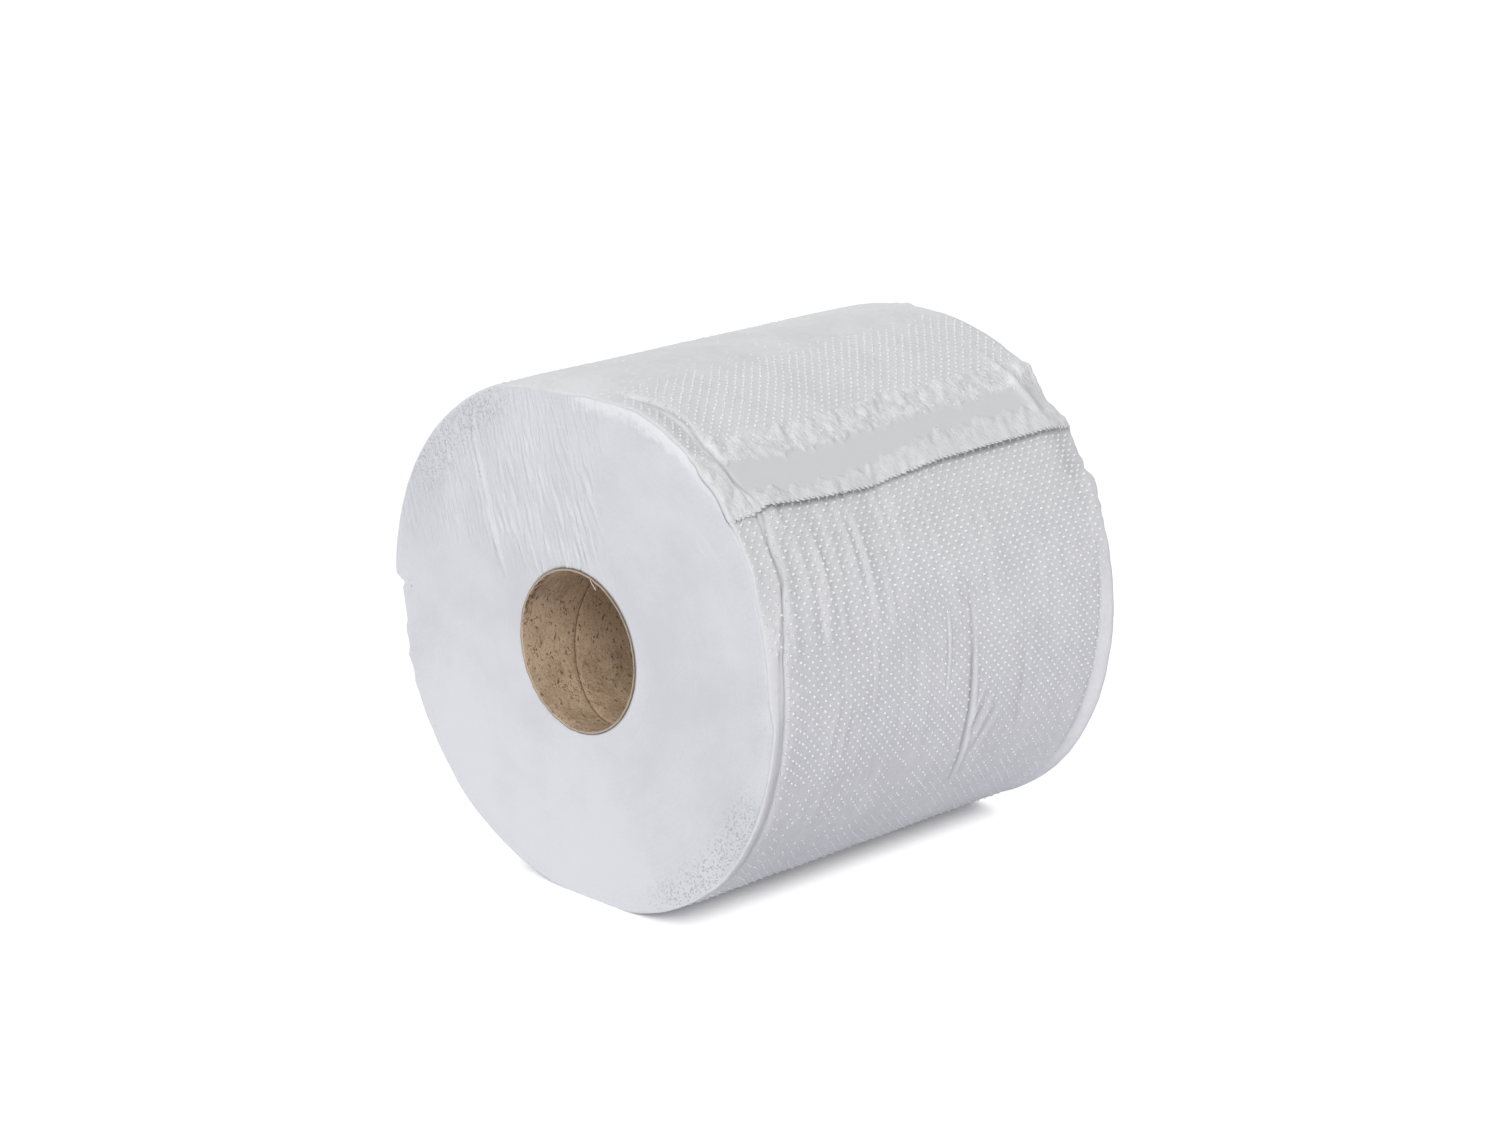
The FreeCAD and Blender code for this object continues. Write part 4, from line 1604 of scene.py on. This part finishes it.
@dataclass
class EmbossDots:
    """The raised dots pressed into the towel, set out on the unrolled sheet by Geometry Nodes."""

    paper: WoundPaper
    pitch_round: float = 4.05
    pitch_along: float = 4.0
    first_row: float = 1.4
    radius: float = 0.53
    height: float = 1.2
    stretch: float = 1.35
    wobble: float = 0.16
    edge_chance: float = 0.35
    crown: float = 0.9
    sheet_margin: float = 3.0
    floor_clearance: float = 1.2

    def sheet_mesh(self, from_depth: float, to_depth: float) -> bpy.types.Mesh:
        """The outside of the web between two depths, with its unrolled places and its emboss.

        Args:
            from_depth: Where the stretch begins.
            to_depth: Where it ends.

        Returns:
            A mesh with a UV map "unrolled" in metres and a point attribute "emboss".
        """
        points, turned, nominal = self.paper.outer_grid()
        margin = self.sheet_margin
        kept = (nominal[:, 0] >= from_depth - margin) & (nominal[:, 0] <= to_depth + margin)
        points, turned = points[kept], turned[kept]
        rows, columns = turned.shape
        mesh = bpy.data.meshes.new("sheet")
        mesh.from_pydata(points.reshape(-1, 3).tolist(), [], grid_faces(rows, columns, False, True))
        depth = points[..., 1] / MM - AXIS.front
        flat = np.stack([turned * self.paper.surface.form.round_mm * MM, depth * MM], axis=-1).reshape(-1, 2)
        corners = np.zeros(len(mesh.loops), int)
        mesh.loops.foreach_get("vertex_index", corners)
        layer = mesh.uv_layers.new(name="unrolled")
        layer.data.foreach_set("uv", flat[corners].astype(np.float32).ravel())
        standing = points[..., 2] > self.floor_clearance * MM
        share = self.paper.surface.emboss(turned, depth) * standing
        layer = mesh.attributes.new("emboss", "FLOAT", "POINT")
        layer.data.foreach_set("value", share.astype(np.float32).ravel())
        return mesh

    @staticmethod
    def lattices(rule: GeometryRule, pitches: list[Wire], counts: list[Wire], first_depth: Wire) -> Wire:
        """Two lattices on the unrolled sheet, one of them half a pitch on from the other both ways.

        Args:
            rule: The tree.
            pitches: The pitch round the roll and along it.
            counts: How many points each way.
            first_depth: The depth of the first row.

        Returns:
            The points of both.
        """
        sizes = [pitch * (count - 1.0) for pitch, count in zip(pitches, counts)]
        grid = rule.out("GeometryNodeMeshGrid", {"Size X": sizes[0], "Size Y": sizes[1],
                                                 "Vertices X": counts[0], "Vertices Y": counts[1]})
        join = rule.node("GeometryNodeJoinGeometry")
        for share in (0.5, 0.0):
            offset = rule.combined(sizes[0] * 0.5 + pitches[0] * (share + 0.25),
                                   sizes[1] * 0.5 + first_depth + pitches[1] * share)
            moved = rule.out("GeometryNodeTransform", {"Geometry": grid, "Translation": offset})
            rule.tree.links.new(moved.socket, join.inputs[0])
        return Wire(rule, join.outputs[0])

    def dome(self, rule: GeometryRule) -> Wire:
        """A dome of unit radius with a rounded crown, its side smooth and its underside flat."""
        cone, _, bottom = rule.outs("GeometryNodeMeshCone", {
            "Vertices": 6, "Side Segments": 2, "Radius Top": 0.0, "Radius Bottom": 1.0, "Depth": 1.0},
            fill_type="NGON")[:3]
        across, along, _ = rule.outs("ShaderNodeSeparateXYZ", {0: rule.out("GeometryNodeInputPosition")})
        reach = rule.math("SQRT", across * across + along * along)
        fall = 1.0 - reach * reach
        side = rule.out("FunctionNodeBooleanMath", {0: bottom}, operation="NOT")
        place = rule.combined(across, along, fall * fall - (1 - self.crown))
        return rule.placed(rule.smooth(cone, side), place)

    def rule(self) -> GeometryRule:
        """The tree: two lattices on the unrolled sheet, lifted onto the roll, a dome on each point."""
        rule = GeometryRule("emboss_dots")
        pitches = rule.named("Float", "Pitch Round", "Pitch Along")
        counts = rule.named("Int", "Count Round", "Count Along")
        first_depth, radius, height = rule.named("Float", "First Depth", "Radius", "Height")
        stretch, = rule.named("Float", "Stretch")
        (seed,), (material,) = rule.named("Int", "Seed"), rule.named("Material", "Material")
        reach = self.wobble * MM
        wobble = rule.random((-reach, -reach, 0.0), (reach, reach, 0.0), seed, "FLOAT_VECTOR")
        place = rule.vector("ADD", rule.out("GeometryNodeInputPosition"), wobble)

        def sampled(value: Wire, kind: str) -> list[Wire]:
            """A value of the sheet at each lattice point, and whether the sheet reaches there."""
            return rule.outs("GeometryNodeSampleUVSurface", {
                "Mesh": rule.base, "Value": value, "Sample UV": place,
                "UV Map": rule.stored("unrolled", "FLOAT_VECTOR")}, data_type=kind)

        here, found = sampled(rule.out("GeometryNodeInputPosition"), "FLOAT_VECTOR")
        normal, _ = sampled(rule.out("GeometryNodeInputNormal"), "FLOAT_VECTOR")
        emboss, _ = sampled(rule.stored("emboss"), "FLOAT")
        points = self.lattices(rule, pitches, counts, first_depth)
        points = rule.store(points, "out", normal, "FLOAT_VECTOR")
        points = rule.store(points, "share", emboss)
        points = rule.placed(rule.store(points, "found", found, "BOOLEAN"), here)

        share = rule.stored("share")
        chance = rule.random(0.0, self.edge_chance, seed + 1.0)
        clear = rule.out("FunctionNodeCompare", {"A": share, "B": chance}, operation="GREATER_THAN")
        wanted = rule.out("FunctionNodeBooleanMath", {0: rule.stored("found", "BOOLEAN"), 1: clear},
                          operation="AND")
        turned = rule.facing(rule.stored("out", "FLOAT_VECTOR"), (0.0, 1.0, 0.0), "Y")
        vary = rule.random(0.8, 1.15, seed + 2.0)
        size = rule.combined(radius * stretch, radius * vary, height * vary * (share * 0.75 + 0.25))
        rule.finish(rule.copies(self.dome(rule), points, turned, size, Selection=wanted), material)
        return rule

    def build(self) -> list[bpy.types.Object]:
        """Builds the dots in two halves, so that neither piece is too heavy."""
        rule = self.rule()
        turned = self.paper.turns()[-1] * self.paper.surface.form.round_mm
        rows = int(self.paper.surface.form.width / self.pitch_along)
        half = rows // 2
        made = []
        for name, first, count, seed in (("front_emboss_dots", 0, half, 3),
                                         ("back_emboss_dots", half, rows - half, 5)):
            start = first * self.pitch_along + self.first_row
            sheet = self.sheet_mesh(start, start + count * self.pitch_along)
            piece = rule.apply(sheet, name, **{
                "Pitch Round": self.pitch_round * MM, "Pitch Along": self.pitch_along * MM,
                "Count Round": int(turned / self.pitch_round), "Count Along": count,
                "First Depth": start * MM, "Radius": self.radius * MM, "Height": self.height * MM,
                "Stretch": self.stretch, "Seed": seed, "Material": self.paper.finishes.dots})
            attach(piece, "root")
            made.append(piece)
        return made


@dataclass
class TailTabs:
    """The small torn tabs along the tail's edge, strung along it by Geometry Nodes."""

    paper: WoundPaper
    pitch: float = 2.2
    reach: float = 0.7
    width: float = 0.95
    thickness: float = 0.16
    from_depth: float = 1.2
    edge_step: float = 0.5
    inward_turn: float = 0.3

    def edge_mesh(self) -> bpy.types.Mesh:
        """The tail's edge as a line of vertices, each with its directions out and off the edge."""
        depths = np.arange(self.from_depth, self.paper.surface.form.width - self.from_depth,
                           self.edge_step)
        edge, inward = (self.paper.section_points(np.full(depths.shape, turned), depths, False)
                        for turned in (0.0, self.inward_turn))
        ahead = edge - inward
        directions = {"ahead": ahead, "out": np.cross(ahead, np.gradient(edge, axis=0))}
        return line_mesh("edge", edge, **{name: value / np.linalg.norm(value, axis=1)[:, None]
                                          for name, value in directions.items()})

    def rule(self) -> GeometryRule:
        """The tree: the edge as a curve, a point at every pitch, and a flat tab on each point."""
        rule = GeometryRule("tail_tabs")
        pitch, reach, width, thickness = rule.named("Float", "Pitch", "Reach", "Width", "Thickness")
        (seed,), (material,) = rule.named("Int", "Seed"), rule.named("Material", "Material")
        curve = rule.out("GeometryNodeMeshToCurve", {"Mesh": rule.base})
        points = rule.out("GeometryNodeResampleCurve", {"Curve": curve, "Length": pitch}, mode="LENGTH")
        disc = rule.out("GeometryNodeMeshCylinder", {"Vertices": 8, "Radius": 1.0, "Depth": 1.0})
        turned = rule.facing(rule.stored("out", "FLOAT_VECTOR"), rule.stored("ahead", "FLOAT_VECTOR"), "X")
        size = rule.combined(reach * rule.random(0.6, 1.15, seed), width, thickness)
        rule.finish(rule.copies(rule.smooth(disc), points, turned, size), material)
        return rule

    def build(self) -> bpy.types.Object:
        """Builds and dresses the tabs."""
        piece = self.rule().apply(self.edge_mesh(), "tail_edge_tabs", Pitch=self.pitch * MM,
                                  Reach=self.reach * MM, Width=self.width * MM, Seed=7,
                                  Thickness=self.thickness * MM, Material=self.paper.finishes.towel)
        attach(piece, "root")
        return piece


@dataclass
class CoreTube:
    """The spiral-wound paperboard core, its wall swept round the axis by Geometry Nodes."""

    finishes: Finishes
    bore_radius: float = CORE_BORE
    wall: float = 1.0
    standout: float = 0.6
    seam_depth: float = 0.35
    seam_width: float = 0.6
    fray: float = 0.32
    columns: int = 160
    bore_step: float = 0.8
    back_step: float = 12.0
    rim: tuple[tuple[float, float], ...] = ((0.0, 0.12), (0.2, 0.0), (0.45, 0.06), (0.75, 0.0), (1.0, 0.12))

    def wall_mesh(self) -> bpy.types.Mesh:
        """The wall's closed outline, each vertex with its radius, its depth and its fray from -1 to 1."""
        low, high = -self.standout, WEB_WIDTH + self.standout
        across, inset = (np.array(column) for column in zip(*self.rim))
        reach = self.bore_radius + across * self.wall
        bore = np.arange(low + 0.6, high - 0.3, self.bore_step)
        back = np.arange(high - 1.0, low + 1.0, -self.back_step)
        radius = np.concatenate([reach[::-1], np.full(bore.shape, reach[0]), reach,
                                 np.full(back.shape, reach[-1])])
        depth = np.concatenate([low + inset[::-1], bore, high - inset, back])
        frayed = np.repeat((-1.0, 0.0, 1.0, 0.0), (len(across), len(bore), len(across), len(back)))
        points = np.stack([radius * MM, depth * MM, 0 * depth], axis=-1)
        return line_mesh("wall", points, True, reach=radius * MM, depth=depth * MM, frayed=frayed)

    def rule(self) -> GeometryRule:
        """The tree: the wall swept round a circle, grooved along the helix and frayed at its rims."""
        rule = GeometryRule("core_tube")
        (columns,), (axis,) = rule.named("Int", "Columns"), rule.named("Vector", "Axis")
        bore, pitch, start = rule.named("Float", "Bore Radius", "Seam Pitch", "Seam Turn")
        groove, width, fray, seed = rule.named("Float", "Seam Depth", "Seam Width", "Fray", "Seed")
        material, = rule.named("Material", "Material")
        ring = rule.out("GeometryNodeCurvePrimitiveCircle", {"Resolution": columns, "Radius": 1.0})
        ring = rule.store(ring, "turn", rule.out("GeometryNodeSplineParameter"))
        outline = rule.out("GeometryNodeMeshToCurve", {"Mesh": rule.base})
        tube = rule.out("GeometryNodeCurveToMesh", {"Curve": ring, "Profile Curve": outline})

        turn, depth, reach, frayed = (rule.stored(name) for name in ("turn", "depth", "reach", "frayed"))
        across, up = (rule.math(way, turn * math.tau) for way in ("COSINE", "SINE"))
        half = pitch * 0.5
        past = rule.math("WRAP", depth - (start - turn) * pitch, half, half * -1.0)
        share = past / width
        in_bore = rule.math("LESS_THAN", reach, bore + 0.1 * MM)
        dip = rule.math("EXPONENT", share * share * -1.0) * groove * in_bore

        def rough(scale: float, shift: float) -> Wire:
            """Noise round the rims, mostly between -1 and 1."""
            value = rule.out("ShaderNodeTexNoise", {"Vector": rule.combined(across, up, frayed + shift),
                                                    "W": seed, "Scale": scale, "Detail": 3.0,
                                                    "Roughness": 0.7}, noise_dimensions="4D")
            return (value - 0.5) * 4.0

        radius = reach + dip + rough(6.0, 3.0) * abs(frayed) * (fray * 0.5)
        place = rule.combined(radius * across, depth + rough(9.0, 0.0) * frayed * fray, radius * up)
        tube = rule.smooth(rule.placed(tube, rule.vector("ADD", place, axis)))
        rule.finish(rule.out("GeometryNodeFlipFaces", {"Mesh": tube}), material)
        return rule

    def build(self) -> bpy.types.Object:
        """Builds and dresses the tube."""
        piece = self.rule().apply(self.wall_mesh(), "core_tube", **{
            "Columns": self.columns, "Axis": Vector((AXIS.x, AXIS.front, AXIS.z)) * MM,
            "Bore Radius": self.bore_radius * MM, "Seam Pitch": SEAM_PITCH * MM,
            "Seam Turn": SEAM_ANGLE / FULL_TURN, "Seam Depth": self.seam_depth * MM,
            "Seam Width": self.seam_width * MM, "Fray": self.fray * MM, "Seed": 4.0,
            "Material": self.finishes.board})
        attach(piece, "root")
        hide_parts("core")
        return piece


@dataclass
class TornCurl:
    """A shred of the inner ply that hangs in the mouth of the core, swept along its path."""

    finishes: Finishes
    width: float = 0.9
    thickness: float = 0.25
    path: tuple[tuple[float, float, float], ...] = (
        (76.0, 29.3, -0.1), (75.0, 28.7, -0.35), (73.0, 28.0, -0.45), (70.5, 27.4, -0.4),
        (69.0, 26.8, -0.1), (69.5, 26.3, 0.3), (71.5, 26.2, 0.6))

    def rule(self) -> GeometryRule:
        """The tree: the path as a smooth curve, and a flat section swept along it."""
        rule = GeometryRule("torn_curl")
        width, thickness = rule.named("Float", "Width", "Thickness")
        material, = rule.named("Material", "Material")
        path = rule.out("GeometryNodeMeshToCurve", {"Mesh": rule.base})
        path = rule.out("GeometryNodeCurveSplineType", {"Curve": path}, spline_type="CATMULL_ROM")
        section = rule.out("GeometryNodeCurvePrimitiveQuadrilateral", {"Width": thickness, "Height": width})
        rule.finish(rule.out("GeometryNodeCurveToMesh", {"Curve": path, "Profile Curve": section,
                                                         "Fill Caps": True}), material)
        return rule

    def build(self) -> bpy.types.Object:
        """Builds and dresses the shred."""
        path = line_mesh("path", AXIS.place(*(np.array(column) for column in zip(*self.path))))
        piece = self.rule().apply(path, "core_torn_curl", Width=self.width * MM,
                                  Thickness=self.thickness * MM, Material=self.finishes.cream)
        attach(piece, "root")
        return piece


# ---------------------------------------------------------------------------------------------------
# The studio


@dataclass(frozen=True)
class SoftSun:
    """A distant lamp with a wide disc, so that its light is even and its shadows are soft."""

    name: str
    towards: tuple[float, float, float]
    strength: float
    spread: float

    def build(self) -> None:
        """Adds the lamp."""
        data = bpy.data.lights.new(self.name, "SUN")
        data.energy = self.strength
        data.angle = math.radians(self.spread)
        lamp = link_object(self.name, data)
        lamp.location = self.towards
        lamp.rotation_euler = Vector(self.towards).to_track_quat("Z", "Y").to_euler()


@dataclass
class Studio:
    """The floor, the world, the lamps and the camera."""

    lens: float = 89.79
    sensor_width: float = 36.0
    camera_place: tuple[float, float, float] = (0.93415, -0.92586, 0.49438)
    camera_turn: tuple[float, float, float] = (73.532, 0.0, 45.284)
    sight: float = 50.0
    world_strength: float = 0.245
    floor_size: float = 12.0
    floor_colour: Colour = (0.88, 0.87, 0.94, 1.0)
    floor_glow: float = 0.95
    glow_strength: float = 1.12
    contact_reach: float = 0.013
    white: Colour = (1.0, 1.0, 1.0, 1.0)
    lamps: tuple[SoftSun, ...] = (
        SoftSun("key_lamp", (0.46, -0.60, 0.63), 1.31, 28.0),
        SoftSun("top_lamp", (-0.40, 0.10, 0.91), 0.54, 40.0),
        SoftSun("front_lamp", (0.34, -0.90, 0.12), 0.62, 40.0),
        SoftSun("back_lamp", (-0.72, 0.64, 0.25), 0.88, 40.0),
    )

    def floor(self) -> None:
        """A white floor that keeps the shadow."""
        half = self.floor_size / 2
        mesh = bpy.data.meshes.new("floor")
        mesh.from_pydata([(-half, -half, 0), (half, -half, 0), (half, half, 0), (-half, half, 0)], [],
                         [(0, 1, 2, 3)])
        piece = link_object("studio_floor", mesh)
        material, graph = new_material("studio_floor")
        matt = graph.out("ShaderNodeBsdfDiffuse", {"Color": self.floor_colour})
        glow = graph.out("ShaderNodeEmission", {"Color": self.white, "Strength": self.glow_strength})
        open_air = graph.out("ShaderNodeAmbientOcclusion", {"Distance": self.contact_reach}, "AO", samples=4)
        share = graph.directly_seen() * graph.ramp(open_air, 0.14, 0.36) * self.floor_glow
        mixed = graph.out("ShaderNodeMixShader", {0: share, 1: matt, 2: glow})
        graph.node("ShaderNodeOutputMaterial", {"Surface": mixed})
        mesh.materials.append(material)

    def world(self) -> None:
        """A plain white world, full white only where the camera sees it."""
        world = bpy.data.worlds.new("studio")
        bpy.context.scene.world = world
        world.use_nodes = True
        graph = Graph(world.node_tree)
        strength = graph.ramp(graph.directly_seen(), 0.0, 1.0, self.world_strength, 1.0)
        shader = graph.out("ShaderNodeBackground", {"Color": self.white, "Strength": strength})
        graph.node("ShaderNodeOutputWorld", {"Surface": shader})

    def camera(self) -> None:
        """The camera, low on the right of the roll's front end."""
        data = bpy.data.cameras.new("camera")
        data.lens = self.lens
        data.sensor_width = self.sensor_width
        data.clip_end = self.sight
        camera = link_object("camera", data)
        camera.location = self.camera_place
        camera.rotation_euler = Euler([math.radians(turn) for turn in self.camera_turn])
        bpy.context.scene.camera = camera

    def build(self) -> None:
        """Sets the whole studio up."""
        self.floor()
        self.world()
        self.camera()
        for lamp in self.lamps:
            lamp.build()
        bpy.context.scene.view_settings.view_transform = "Standard"


def report(piece: bpy.types.Object) -> None:
    """Logs a finished piece and its size."""
    triangles = sum(len(polygon.vertices) - 2 for polygon in piece.data.polygons)
    LOG.info("%s: %d triangles", piece.name, triangles)


def main() -> None:
    """Builds the studio and the dressed roll."""
    logging.basicConfig(level=logging.INFO, format="%(name)s: %(message)s")
    Studio().build()
    finishes = Finishes()
    paper = WoundPaper(finishes)
    for piece in (paper.build(), *EmbossDots(paper).build(), TailTabs(paper).build(),
                  CoreTube(finishes).build(), TornCurl(finishes).build()):
        report(piece)


if __name__ == "__main__":
    main()
